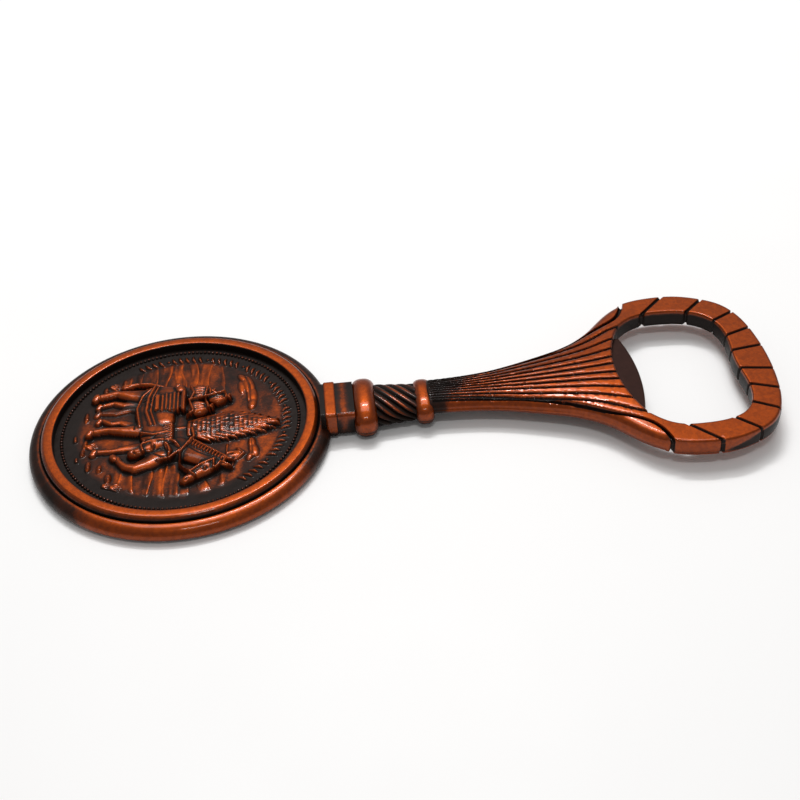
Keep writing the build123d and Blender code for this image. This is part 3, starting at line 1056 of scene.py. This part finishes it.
def draw_farmhouse(r):
    """A small gabled farmhouse with a lean-to, far off at the right."""
    r.stroke([(9.0, 9.0, 0.95, 0.40), (9.0, 10.0, 0.85, 0.42)], power=0.2)
    r.stroke([(7.7, 10.2, 0.26, 0.5), (9.0, 11.3, 0.30, 0.55), (10.3, 10.2, 0.26, 0.5)])
    r.stroke([(10.4, 8.9, 0.66, 0.32), (11.2, 8.8, 0.55, 0.32)], power=0.25)
    r.stroke([(10.0, 9.9, 0.22, 0.42), (12.0, 9.3, 0.2, 0.4)])
    r.stroke([(6.3, 8.4, 0.16, 0.3), (12.6, 8.0, 0.16, 0.3)])
    r.cut([(9.0, 8.7, 0.25), (9.0, 9.3, 0.25)], 0.35)
    r.cut([(10.9, 8.9, 0.18), (11.1, 8.9, 0.18)], 0.3)


def strap(r, points, half_width, height):
    """A flat band laid over the figures, its top at the given height."""
    r.stroke([(u, v, half_width, 0.14) for u, v in points], base=height - 0.12, power=0.25)


def draw_leg(r, points, base, hoof=1.0):
    """A leg as a chain of tapering joints, ending in a bevelled hoof with its cuff cut in."""
    r.stroke(points, base)
    u, v, radius, height = points[-1]
    heel = (u - 0.1, v - 0.45, radius * 1.15, height)
    toe = (u + 0.6 * hoof, v - 0.8, radius * 1.05, height * 0.9)
    r.stroke([heel, toe], base, 0.35)
    r.cut([(u - 0.7, v - 0.02, 0.1), (u + 0.8, v - 0.12, 0.1)], 0.22)


def draw_horse(r):
    """The tall horse behind, facing right, one foreleg lifted."""
    horse_body(r, HORSE_BASE)
    horse_head(r, HORSE_BASE)
    horse_tack(r, HORSE_BASE)


def horse_body(r, far):
    """The two legs it stands on, the barrel, the lifted foreleg and the neck."""
    draw_leg(r, [(5.2, -6.5, 1.35, 0.6), (5.2, -9.6, 0.95, 0.6),
                 (5.6, -12.0, 0.62, 0.6), (5.4, -14.6, 0.66, 0.55)], 0.2)
    draw_leg(r, [(-5.4, -6.5, 1.5, 0.5), (-5.9, -9.3, 1.0, 0.5),
                 (-4.9, -12.0, 0.6, 0.5), (-5.3, -14.7, 0.6, 0.5)], 0.1)
    r.stroke([(-7.4, -1.4, 2.3, 0.6), (-2.0, 0.0, 2.4, 0.6),
              (3.0, -0.2, 2.5, 0.62), (7.2, -1.9, 2.7, 0.75)], 0.25)
    r.stroke([(7.6, -2.8, 2.3, 0.85), (9.8, -5.4, 1.6, 0.85), (10.9, -7.6, 1.15, 0.85)], far)
    r.stroke([(10.9, -7.6, 1.12, 0.85), (10.4, -9.2, 0.85, 0.8), (9.3, -10.2, 0.66, 0.75)], far)
    draw_leg(r, [(10.4, -9.2, 0.8, 0.8), (9.0, -10.4, 0.62, 0.75), (8.0, -10.9, 0.66, 0.7)], far, -1.0)
    r.stroke([(6.2, -0.6, 2.7, 0.8), (8.4, 2.2, 2.15, 0.9),
              (10.2, 4.8, 1.8, 0.95), (11.7, 6.6, 1.5, 1.0)], far)


def horse_head(r, far):
    """The head with its ears, then the mane, forelock, eye, nostril, mouth and muscle lines."""
    r.stroke([(11.6, 6.3, 1.75, 1.05), (13.2, 4.3, 1.5, 1.15),
              (14.7, 2.3, 1.05, 1.1), (15.4, 1.2, 0.92, 1.05)], far)
    r.blob(12.3, 4.9, 1.9, 1.55, 1.3, -50, base=far)
    r.blob(15.3, 1.5, 1.05, 0.85, 1.2, -40, base=far)
    r.stroke([(10.7, 7.6, 0.62, 1.1), (11.1, 9.4, 0.28, 0.9)], far)
    r.stroke([(12.1, 7.7, 0.62, 1.2), (12.9, 9.2, 0.26, 0.95)], far)
    r.cut([(12.2, 7.5, 0.18), (12.7, 8.7, 0.1)], 0.4)
    for i in range(13):
        t = i / 12
        u, v = blend(5.6, 11.0, t), blend(1.9, 8.0, t)
        lock = [(u + 0.6, v, 0.34, 1.25), (u - 0.5, v + 0.5, 0.30, 1.1), (u - 1.2, v - 0.3, 0.14, 0.8)]
        r.stroke(lock, far)
    r.stroke([(11.9, 7.5, 0.34, 1.4), (13.1, 6.7, 0.3, 1.35), (13.6, 5.7, 0.15, 1.2)], far)
    r.blob(13.35, 4.75, 0.52, 0.4, 1.55, -30, base=far)
    r.cut([(12.95, 4.95, 0.1), (13.3, 5.1, 0.11), (13.75, 4.8, 0.1)], 0.3)
    r.cut([(12.95, 4.6, 0.09), (13.4, 4.35, 0.1), (13.8, 4.6, 0.08)], 0.26)
    r.cut([(15.35, 1.75, 0.2), (15.75, 1.45, 0.16)], 0.4)
    r.cut([(14.5, 0.95, 0.12), (15.2, 0.75, 0.12)], 0.35)
    r.cut([(11.0, 4.0, 0.12), (12.2, 3.3, 0.16), (13.1, 3.5, 0.12)], 0.22)
    r.cut([(8.0, -4.6, 0.14), (9.0, -3.0, 0.2), (9.2, -1.2, 0.12)], 0.2)
    r.cut([(6.6, 1.3, 0.12), (8.6, 3.2, 0.18), (10.0, 5.2, 0.12)], 0.18)


def horse_tack(r, far):
    """Bridle, rein, breast strap and a strap towards its back."""
    top = 1.5 + far
    strap(r, [(11.2, 6.4), (12.4, 4.0), (13.9, 2.2)], 0.19, top)
    strap(r, [(13.4, 1.7), (15.0, 3.1)], 0.18, top)
    strap(r, [(11.4, 6.3), (13.2, 6.2)], 0.17, top)
    strap(r, [(13.5, 1.7), (11.6, 0.2), (8.6, 0.2), (5.0, 2.2)], 0.18, 1.35 + far)
    strap(r, [(7.2, 0.8), (9.6, -1.6), (9.9, -3.6)], 0.24, 1.2 + far)
    strap(r, [(6.6, 1.4), (4.4, 2.6), (2.2, 2.2)], 0.26, 1.1 + far)


def draw_donkey(r):
    """The shorter pack animal in front, head lowered."""
    donkey_body(r, DONKEY_BASE)
    donkey_head(r, DONKEY_BASE)
    donkey_tack(r, DONKEY_BASE)


def donkey_body(r, near):
    """The far legs, the near legs, the barrel and the neck."""
    draw_leg(r, [(-7.2, -8.0, 1.3, 0.5), (-6.9, -10.6, 0.85, 0.5),
                 (-7.7, -12.6, 0.6, 0.5), (-7.1, -14.6, 0.55, 0.5)], 0.3)
    draw_leg(r, [(-0.6, -8.4, 1.1, 0.5), (-2.0, -11.0, 0.75, 0.5),
                 (-1.8, -12.6, 0.58, 0.5), (-3.0, -14.3, 0.55, 0.5)], 0.3)
    draw_leg(r, [(-8.3, -6.2, 2.2, 0.9), (-9.0, -9.2, 1.5, 0.9),
                 (-9.9, -12.0, 0.9, 0.85), (-9.3, -15.2, 0.78, 0.8)], near)
    draw_leg(r, [(1.0, -7.4, 1.6, 0.9), (0.8, -10.2, 1.1, 0.9),
                 (0.3, -13.0, 0.75, 0.82), (0.5, -15.6, 0.72, 0.8)], near)
    r.stroke([(-8.0, -4.6, 2.9, 1.1), (-4.0, -5.4, 3.1, 1.15),
              (0.0, -4.9, 3.1, 1.2), (2.6, -4.6, 2.6, 1.15)], near)
    r.stroke([(2.2, -3.8, 2.4, 1.2), (4.2, -3.0, 2.0, 1.25), (5.6, -3.1, 1.75, 1.3)], near)


def donkey_head(r, near):
    """The head with its long ears, then the mane, eye, nostril, mouth and muscle lines."""
    r.stroke([(5.4, -3.2, 1.85, 1.35), (6.5, -5.3, 1.5, 1.35),
              (7.2, -7.2, 1.1, 1.25), (7.4, -8.2, 0.98, 1.2)], near)
    r.blob(5.7, -4.4, 1.6, 1.4, 1.5, 0, base=near)
    r.stroke([(5.0, -2.2, 0.66, 1.4), (5.7, -0.8, 0.6, 1.35), (7.0, 0.1, 0.22, 1.1)], near)
    r.stroke([(6.1, -2.3, 0.62, 1.5), (7.7, -1.6, 0.56, 1.4), (9.0, -1.7, 0.2, 1.1)], near)
    r.cut([(5.4, -1.7, 0.16), (6.6, -0.2, 0.1)], 0.4)
    r.cut([(6.6, -2.2, 0.16), (8.3, -1.75, 0.1)], 0.4)
    for i in range(9):
        t = i / 8
        u, v = blend(0.8, 5.2, t), blend(-1.4, -1.3, t)
        r.stroke([(u, v, 0.36, 1.3), (u + 0.25, v - 1.3, 0.24, 1.25)], near)
    r.blob(6.75, -4.5, 0.5, 0.4, 1.75, -20, base=near)
    r.cut([(6.4, -4.3, 0.1), (6.8, -4.15, 0.12), (7.2, -4.4, 0.1)], 0.3)
    r.cut([(7.6, -7.9, 0.18), (7.95, -7.6, 0.14)], 0.35)
    r.cut([(6.7, -8.7, 0.11), (7.6, -8.9, 0.11)], 0.3)
    r.cut([(3.2, -6.9, 0.14), (3.6, -4.4, 0.22), (2.9, -2.4, 0.12)], 0.24)
    r.cut([(-6.0, -7.6, 0.14), (-6.4, -5.6, 0.2), (-6.0, -3.6, 0.12)], 0.22)
    r.cut([(1.2, -8.2, 0.14), (-1.2, -8.0, 0.16)], 0.2)


def donkey_tack(r, near):
    """Halter, neck strap, a strap along its side, and the tail."""
    top = 1.62 + near
    strap(r, [(4.9, -6.0), (6.4, -6.6), (7.9, -6.1)], 0.2, top)
    strap(r, [(5.3, -2.6), (5.2, -4.6), (5.9, -6.3)], 0.19, top)
    strap(r, [(2.9, -2.2), (3.4, -4.6), (2.6, -7.0)], 0.24, 1.35 + near)
    strap(r, [(-9.8, -5.6), (-7.6, -7.2), (-4.2, -8.0), (0.8, -7.2)], 0.24, 1.15 + near)
    r.stroke([(-10.3, -3.6, 0.62, 1.0), (-11.5, -6.0, 0.55, 0.95),
              (-11.9, -8.6, 0.5, 0.9), (-11.6, -10.8, 0.8, 0.8)], near)
    for i in range(4):
        r.cut([(-12.1 + 0.3 * i, -8.0, 0.1), (-12.2 + 0.42 * i, -11.2, 0.1)], 0.3)


def sack(r, u, v, ru, rv, height, turn, base):
    """A full sack with creases running to its tied neck."""
    r.blob(u, v, ru, rv, height, turn, 0.4, base)
    spread = ((1.0, -0.55, 0.08), (0.6, 0.1, 0.15), (0.25, 0.85, 0.09))
    for k in (-0.55, -0.2, 0.2, 0.55):
        r.cut([(u + share * k * ru, v + up * rv, wide) for share, up, wide in spread], 0.2)
    tie = [(u + side * 0.3 * ru, v + 0.86 * rv, 0.24, 0.3) for side in (-1, 1)]
    r.stroke(tie, base + height * 0.75)
    left, right = (u - 0.35, v + 1.2 * rv, 0.3, 0.25), (u + 0.4, v + 1.18 * rv, 0.3, 0.25)
    r.stroke([left, (u, v + 0.95 * rv, 0.2, 0.3), right], base + height * 0.6)


def basket(r, u0, u1, v0, v1, height, base):
    """A woven pannier: rows of short strands between two rims."""
    mid = (u0 + u1) / 2
    half = (u1 - u0) / 2
    r.stroke([(mid - 0.3, (v0 + v1) / 2, half, height),
              (mid + 0.3, (v0 + v1) / 2, half, height)], base, 0.2)
    rows = 7
    for row in range(rows):
        v = blend(v0, v1, (row + 0.5) / rows)
        squeeze = 0.72 + 0.28 * row / rows
        for k in range(8):
            u = mid + squeeze * half * (2 * (k + 0.5 * (row % 2)) / 7.5 - 1)
            r.stroke([(u - 0.2, v, 0.23, 0.2), (u + 0.2, v, 0.23, 0.2)], base + height - 0.06)
    for v, wide in ((v1, 1.0), (v0, 0.75)):
        r.stroke([(mid - wide * half, v, 0.3, 0.35),
                  (mid + wide * half, v, 0.3, 0.35)], base + height - 0.1)


def draw_load(r):
    """Blanket, woven pannier, tied sacks and a bedroll, roped on the pack animal."""
    near = LOAD_BASE
    r.stroke([(-8.2, -3.0, 2.2, 1.15), (-3.8, -3.4, 2.4, 1.2), (-0.6, -3.0, 2.0, 1.15)], near, 0.3)
    for i in range(13):
        u = -10.0 + i * 0.88
        v = -5.6 - 0.7 * math.sin(math.pi * i / 12)
        r.stroke([(u, v, 0.2, 1.1), (u - 0.05, v - 1.0, 0.13, 0.9)], near * 0.8)
    strap(r, [(-10.2, -4.9), (-7.0, -5.9), (-3.0, -6.2), (0.7, -5.2)], 0.28, 2.1)
    strap(r, [(-10.1, -4.2), (-7.0, -5.1), (-3.0, -5.4), (0.8, -4.4)], 0.16, 2.05)
    basket(r, -7.6, -2.4, -4.4, 0.6, 1.45, near)
    sack(r, -7.6, 3.2, 2.3, 2.5, 1.25, 14, near)
    sack(r, -3.3, 3.0, 2.0, 2.3, 1.3, -10, near)
    sack(r, -5.9, 6.6, 1.8, 1.9, 1.15, 4, near * 0.9)
    r.stroke([(-9.9, -0.6, 1.05, 1.15), (-8.6, -0.2, 1.1, 1.2)], near, 0.4)
    r.cut([(-10.4, -0.6, 0.12), (-9.9, -0.2, 0.12), (-9.5, -0.7, 0.12)], 0.25)
    for path in (
        [(-9.4, 1.6), (-7.2, 2.4), (-4.8, 1.6), (-2.0, 2.4), (-0.9, 1.2)],
        [(-8.8, 4.9), (-5.6, 4.4), (-2.2, 5.2)],
        [(-6.8, 8.2), (-6.0, 5.2), (-5.2, 1.4)],
    ):
        strap(r, path, 0.2, 2.25)
        r.cut([(u, v, 0.07) for u, v in path], 0.12)


def draw_ground(r):
    """Stones, tufts and low mounds under the hooves."""
    for u, v, ru, rv, h in (
        (-4.6, -17.4, 1.5, 0.4, 0.35),
        (-11.8, -14.4, 1.1, 0.5, 0.4),
        (2.8, -17.0, 1.3, 0.42, 0.4),
        (5.0, -17.3, 1.2, 0.4, 0.45),
        (1.2, -18.9, 1.1, 0.36, 0.35),
        (8.8, -16.0, 1.5, 0.5, 0.5),
        (9.6, -14.0, 1.1, 0.42, 0.4),
        (12.4, -12.2, 1.3, 0.6, 0.55),
        (-13.6, -11.0, 1.3, 0.42, 0.36),
        (6.8, -18.2, 0.8, 0.3, 0.35),
    ):
        r.blob(u, v, ru, rv, h, RNG.uniform(-8, 8))
        r.blob(u + 0.4, v + 0.12, ru * 0.45, rv * 0.75, h * 1.3, 10)
    for u, v in ((14.8, -11.0), (14.2, -12.4), (-12.8, -13.0), (3.6, -16.0)):
        for i in range(5):
            lean = (i - 2) * 0.22
            tip = (u + lean * 2.2, v + 1.1 - abs(lean), 0.08, 0.4)
            r.stroke([(u + lean * 0.6, v - 0.6, 0.18, 0.45), tip])


def draw_ornament(r):
    """A generic border along the upper arc: leaves that all lean one way, with dots between."""
    start, end, radius = 33.0, 206.0, 19.1
    count, lean = 46, 0.42
    for i in range(count):
        a = math.radians(blend(start, end, (i + 0.5) / count))
        out = np.array([math.cos(a), math.sin(a)])
        along = np.array([-math.sin(a), math.cos(a)])
        mid = radius * out
        if i % 6 == 5:
            r.blob(*mid, 0.30, 0.30, 0.4)
            continue
        foot = mid - 0.78 * out - 0.5 * lean * along
        tip = mid + 0.80 * out + lean * along
        belly = (foot + tip) / 2 + 0.5 * lean * along
        r.stroke([(*foot, 0.13, 0.4), (*belly, 0.29, 0.5), (*tip, 0.11, 0.4)], power=0.4)


def relief_heights():
    """Draws the whole picture and returns the sculpted field."""
    r = Relief(DISC_R + RELIEF_MARGIN, RELIEF_STEP)
    draw_hills(r)
    draw_clouds(r)
    draw_farmhouse(r)
    draw_tree(r)
    draw_horse(r)
    draw_donkey(r)
    draw_load(r)
    draw_ground(r)
    draw_ornament(r)
    r.h = r.blur(r.h, 0.075)
    return r


def relief_patina(r):
    """Dark in the creases, round the figures and at the rim; worn to copper on what stands proud."""
    local = r.blur(r.h, 0.35)
    wide = r.blur(r.h, 1.3)
    radius = np.hypot(r.u, r.v)
    figure = smoothstep(0.42, 0.75, r.h)
    proud = (r.h - local) * 4.0 + (r.h - wide) * 0.35
    cloud = r.noise(0.9, 2.5)
    worn = np.clip(0.46 + 1.2 * proud + 0.10 * cloud, 0, 1) * figure
    glow = 0.50 + 0.13 * cloud + 2.2 * np.clip(r.h - local, 0, 1) + 1.3 * r.h * (1 - figure)
    shade = smoothstep(0.10, 0.62, r.blur(r.h, 0.8) - r.h * 0.25)
    field = np.clip(glow, 0, 0.95) * (1 - 0.9 * shade)
    field = np.maximum(field, 0.30 + 0.05 * cloud) * (1 - 0.95 * smoothstep(17.4, 19.6, radius))
    border = smoothstep(0.12, 0.32, r.h) * smoothstep(17.3, 18.0, radius)
    copper = np.maximum.reduce([worn, field * (1 - figure), 0.75 * border])
    copper *= 1 - np.clip((local - r.h) * 4.0, 0, 1)
    copper *= 1 - smoothstep(20.3, 21.0, radius)
    return 1 - copper


def grid_surface(keep):
    """The grid cells that lie wholly in a mask: which points they use, and their quads."""
    cell = keep[:-1, :-1] & keep[1:, :-1] & keep[:-1, 1:] & keep[1:, 1:]
    used = np.zeros(keep.shape, bool)
    for dy in (0, 1):
        for dx in (0, 1):
            used[dy : dy + cell.shape[0], dx : dx + cell.shape[1]] |= cell
    index = -np.ones(keep.shape, int)
    index[used] = np.arange(used.sum())
    y, x = np.nonzero(cell)
    return used, np.column_stack([index[y, x], index[y, x + 1], index[y + 1, x + 1], index[y + 1, x]])


def relief_disc(material):
    r = relief_heights()
    patina_and_shade = relief_patina(r)
    radius = np.hypot(r.u, r.v)
    dish = 0.1 * smoothstep(17.5, 21.8, radius)
    uneven = 0.010 * r.noise(0.5) + 0.003 * r.noise(0.2)
    z = FIELD_Z + r.h * RELIEF_SCALE + uneven - RELIEF_SINK + dish
    used, quads = grid_surface(radius <= DISC_R + 0.25)
    top = np.column_stack([r.v[used], -r.u[used], z[used]])
    faces = quads.tolist()
    following = dict(open_sides(faces))
    start = next(iter(following))
    loop = [start]
    while following[loop[-1]] != start:
        loop.append(following[loop[-1]])
    count, n = len(top), len(loop)
    base = top[loop].copy()
    base[:, 2] = disc_low[2]
    pairs = [(i, (i + 1) % n) for i in range(n)]
    faces += [(loop[k], loop[i], count + i, count + k) for i, k in pairs]
    faces += [(count + k, count + i, count + n) for i, k in pairs]
    verts = np.concatenate([top, base, [[0, 0, disc_low[2]]]])
    values = np.concatenate([patina_and_shade[used], np.ones(n + 1)])
    return make_object(
        "relief_picture", verts, faces, material, ["relief_disc"], values, sharp=80
    )


# ---- Cap lifter ---------------------------------------------------------------------------------
def lip(material):
    """The smooth lens-shaped lip in the mouth, with its root under the fan."""
    tip = lifter_high[0]
    half = lifter_high[1]
    radius = 39.0
    end_x = tip - radius + math.sqrt(radius**2 - half**2)
    edge = arc_between((end_x, -half), (tip, 0), (end_x, half), 160)
    back = np.array([(FAN_EDGE - 1.5, half), (FAN_EDGE - 1.5, -half)])
    sides = [np.linspace(edge[-1], back[0], 30)[1:], np.linspace(back[0], back[1], 100)[1:]]
    sides.append(np.linspace(back[1], edge[0], 30)[1:-1])
    outline = np.concatenate([edge] + sides)
    gx, gy = np.meshgrid(np.arange(FAN_EDGE - 1.5, tip, 0.35), np.arange(-half, half, 0.35))
    fill = np.column_stack([gx.ravel(), gy.ravel()]) + RNG.uniform(-0.04, 0.04, (gx.size, 2))

    def top(plan, gap):
        dish = 0.1 * np.clip(1 - (plan[:, 1] / half) ** 2, 0, 1)
        return LIP_TOP - edge_drop(gap, 0.35) - dish

    def under(plan, gap):
        return LIP_BOTTOM + edge_drop(gap, 0.35)

    def still(plan, gap, inward):
        return np.zeros_like(plan)

    verts, faces, plan, gap, source, kind = plate(outline, [], fill, top, under, still, bulge=0.05)
    rubbed = np.clip(1 - gap / 0.3, 0, 1) * (plan[:, 0] > FAN_EDGE + 1)
    patina_and_shade = 1 - 0.35 * rubbed[source]
    return make_object("lifter_lip", verts, faces, material, ["cap_lifter"], patina_and_shade)


# ---- Materials ----------------------------------------------------------------------------------
class Nodes:
    """A short way to write a node tree."""

    def __init__(self, name):
        self.material = bpy.data.materials.new(name)
        self.material.use_nodes = True
        self.tree = self.material.node_tree
        self.shader = self.tree.nodes["Principled BSDF"]
        self.place = self.add("ShaderNodeTexCoord").outputs["Object"]

    def add(self, kind, inputs=(), **settings):
        """A node with its settings, then its inputs, given as (name, value) pairs."""
        node = self.tree.nodes.new(kind)
        for key, value in settings.items():
            setattr(node, key, value)
        for key, value in inputs:
            self.feed(node.inputs[key], value)
        return node

    def feed(self, socket, value):
        if isinstance(value, bpy.types.NodeSocket):
            self.tree.links.new(value, socket)
        else:
            socket.default_value = value

    def look(self, name, value):
        """Sets an input of the shader, to a constant or another node's output."""
        self.feed(self.shader.inputs[name], value)

    def math(self, operation, a, b=0.0, clamp=False):
        ends = ((0, a), (1, b))
        return self.add("ShaderNodeMath", ends, operation=operation, use_clamp=clamp).outputs[0]

    def noise(self, millimetres, detail=3.0, rough=0.55, warp=0.0):
        """Noise whose features are about this many millimetres across."""
        scale = 1.0 / (millimetres * MM)
        ends = (("Scale", scale), ("Detail", detail), ("Roughness", rough), ("Distortion", warp))
        return self.add("ShaderNodeTexNoise", (("Vector", self.place), *ends)).outputs["Fac"]

    def remap(self, value, low, high, new_low=0.0, new_high=1.0):
        ends = (("From Min", low), ("From Max", high), ("To Min", new_low), ("To Max", new_high))
        return self.add("ShaderNodeMapRange", (("Value", value), *ends), clamp=True).outputs["Result"]

    def mix(self, share, a, b):
        """A colour part of the way from a to b."""
        ends = (("Factor", share), ("A", a), ("B", b))
        return self.add("ShaderNodeMix", ends, data_type="RGBA").outputs["Result"]

    def bump(self, height, strength, distance_mm):
        ends = (("Strength", strength), ("Distance", distance_mm * MM), ("Height", height))
        self.look("Normal", self.add("ShaderNodeBump", ends).outputs["Normal"])

    def patina_and_shade(self):
        return self.add("ShaderNodeAttribute", attribute_name="patina_and_shade").outputs["Fac"]


def antique_copper(name, darker=0.0):
    """Buffed copper over black-brown patina under clear lacquer.

    The patina_and_shade attribute says how dark each place is, from 0 to 1: mostly how much of the
    plating's dark finish is left, in places painted shade and painted light.
    """
    n = Nodes(name)
    worn = n.patina_and_shade()
    blotch = n.noise(2.6, 4.0, 0.6, 0.4)
    speckle = n.noise(0.34, 3.0, 0.65)
    streak = n.noise(0.9, 3.0, 0.6, 0.8)
    level = n.math("ADD", worn, n.remap(blotch, 0.3, 0.7, -0.10, 0.10))
    level = n.math("ADD", level, n.remap(speckle, 0.35, 0.75, -0.06, 0.10))
    level = n.math("ADD", level, darker, clamp=True)
    copper = n.mix(n.remap(streak, 0.35, 0.65), (0.29, 0.047, 0.003, 1), (0.20, 0.032, 0.003, 1))
    brown = n.mix(n.remap(blotch, 0.35, 0.65), (0.062, 0.014, 0.005, 1), (0.034, 0.010, 0.005, 1))
    black = n.mix(n.remap(speckle, 0.3, 0.7), (0.007, 0.0045, 0.0035, 1), (0.014, 0.0075, 0.0055, 1))
    colour = n.mix(n.remap(level, 0.18, 0.62), copper, brown)
    colour = n.mix(n.remap(level, 0.55, 0.92), colour, black)
    n.look("Base Color", colour)
    n.look("Metallic", n.remap(level, 0.35, 0.85, 0.92, 0.25))
    rough = n.math("ADD", n.remap(level, 0.2, 0.9, 0.43, 0.48), n.remap(speckle, 0.3, 0.7, -0.05, 0.07))
    n.look("Roughness", rough)
    n.look("Specular IOR Level", 0.1)
    n.look("Coat Weight", n.remap(level, 0.3, 0.9, 0.42, 0.10))
    n.look("Coat Roughness", 0.09)
    grain = n.math("ADD", n.math("MULTIPLY", speckle, 0.6), n.noise(0.12, 2.0))
    n.bump(grain, 0.35, 0.03)
    return n.material


def blackened_steel():
    n = Nodes("blackened_steel")
    worn = n.patina_and_shade()
    cloud = n.noise(1.8, 4.0, 0.6, 0.5)
    grain = n.noise(0.25, 3.0)
    dark = n.mix(n.remap(cloud, 0.3, 0.7), (0.024, 0.0085, 0.006, 1), (0.033, 0.0125, 0.009, 1))
    colour = n.mix(n.remap(worn, 0.6, 1.0, 0.8, 0.0), dark, (0.14, 0.085, 0.065, 1))
    n.look("Base Color", colour)
    n.look("Metallic", n.remap(cloud, 0.2, 0.8, 0.3, 0.45))
    n.look("Roughness", n.remap(grain, 0.3, 0.7, 0.38, 0.5))
    n.look("Specular IOR Level", 0.08)
    n.look("Coat Weight", 0.02)
    n.look("Coat Roughness", 0.15)
    n.bump(grain, 0.25, 0.02)
    return n.material


def magnet_rubber():
    n = Nodes("magnet_rubber")
    grain = n.noise(0.3, 4.0, 0.7)
    cloud = n.noise(6.0, 3.0)
    n.look("Base Color", n.mix(cloud, (0.020, 0.019, 0.019, 1), (0.040, 0.037, 0.036, 1)))
    n.look("Roughness", n.remap(grain, 0.3, 0.7, 0.62, 0.8))
    n.bump(grain, 0.4, 0.04)
    return n.material


def glue_film():
    n = Nodes("glue_film")
    cloud = n.noise(3.0, 3.0)
    n.look("Base Color", n.mix(cloud, (0.55, 0.50, 0.38, 1), (0.68, 0.64, 0.52, 1)))
    n.look("Roughness", n.remap(cloud, 0.3, 0.7, 0.3, 0.5))
    return n.material


def table_white():
    n = Nodes("table_white")
    cloud = n.noise(60.0, 3.0)
    n.look("Base Color", n.mix(cloud, (0.945, 0.94, 0.935, 1), (0.965, 0.96, 0.955, 1)))
    n.look("Roughness", n.remap(cloud, 0.3, 0.7, 0.5, 0.6))
    return n.material


# ---- Stage --------------------------------------------------------------------------------------
def add_floor():
    mesh = bpy.data.meshes.new("floor")
    reach = 3.0
    corners = [(-reach, -reach, 0), (reach, -reach, 0), (reach, reach, 0), (-reach, reach, 0)]
    mesh.from_pydata(corners, [], [(0, 1, 2, 3)])
    mesh.materials.append(table_white())
    floor = bpy.data.objects.new("floor", mesh)
    bpy.context.collection.objects.link(floor)


def add_area(name, place, target, size, size_y, watts):
    data = bpy.data.lights.new(name, "AREA")
    data.shape = "RECTANGLE"
    data.size, data.size_y = size, size_y
    data.energy = watts
    light = bpy.data.objects.new(name, data)
    light.location = place
    light.rotation_euler = (Vector(target) - Vector(place)).to_track_quat("-Z", "Y").to_euler()
    bpy.context.collection.objects.link(light)


def add_lights():
    """A softbox high behind the object, and two narrow strips for its highlights."""
    world = bpy.data.worlds.new("studio")
    world.use_nodes = True
    background = world.node_tree.nodes["Background"]
    background.inputs["Color"].default_value = (1.0, 0.99, 0.98, 1)
    background.inputs["Strength"].default_value = 0.31
    bpy.context.scene.world = world
    middle = (0.04, 0.0, 0.0)
    add_area("softbox", (0.04, 0.36, 0.78), middle, 0.6, 0.4, 3.3)
    add_area("overhead_strip", (0.04, -0.26, 0.66), middle, 0.20, 0.035, 0.6)
    add_area("back_strip", (0.05, 0.38, 0.64), middle, 0.24, 0.035, 1.6)


def add_camera():
    """Looks down on the object from above its near side, a little rolled, as a hand-held shot."""
    place = Vector((0.02944, -0.17694, 0.1521))
    lens, pitch, heading, roll = 57.3, 39.96, -3.36, 3.24
    data = bpy.data.cameras.new("camera")
    data.sensor_width = 36.0
    data.lens = lens
    data.clip_start = 0.01
    camera = bpy.data.objects.new("camera", data)
    turn = Euler((0, 0, math.radians(heading))).to_matrix()
    tilt = Euler((math.radians(90 - pitch), 0, 0)).to_matrix()
    spin = Euler((0, 0, math.radians(-roll))).to_matrix()
    camera.matrix_world = Matrix.Translation(place) @ (turn @ tilt @ spin).to_4x4()
    bpy.context.collection.objects.link(camera)
    bpy.context.scene.camera = camera


# ---- Assembly -----------------------------------------------------------------------------------
def set_material(node, material):
    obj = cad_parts[node]
    obj.data.materials.clear()
    obj.data.materials.append(material)


def build():
    copper = antique_copper("antique_copper")
    relief = antique_copper("relief_copper", darker=0.04)
    steel = blackened_steel()
    glue = glue_film()
    fan_and_loop(copper)
    ferrule("big_ferrule", BIG_FERRULE, *BIG_FERRULE_SIZE, copper)
    ferrule("small_ferrule", SMALL_FERRULE, *SMALL_FERRULE_SIZE, copper)
    rope_twist(copper)
    socket_block(copper)
    flange(copper)
    bezel(copper)
    beads(relief)
    relief_disc(relief)
    lip(steel)
    set_material("relief_disc_glue", glue)
    set_material("magnet_glue", glue)
    set_material("back_magnet", magnet_rubber())


build()
add_floor()
add_lights()
add_camera()
bpy.context.scene.view_settings.view_transform = "Standard"
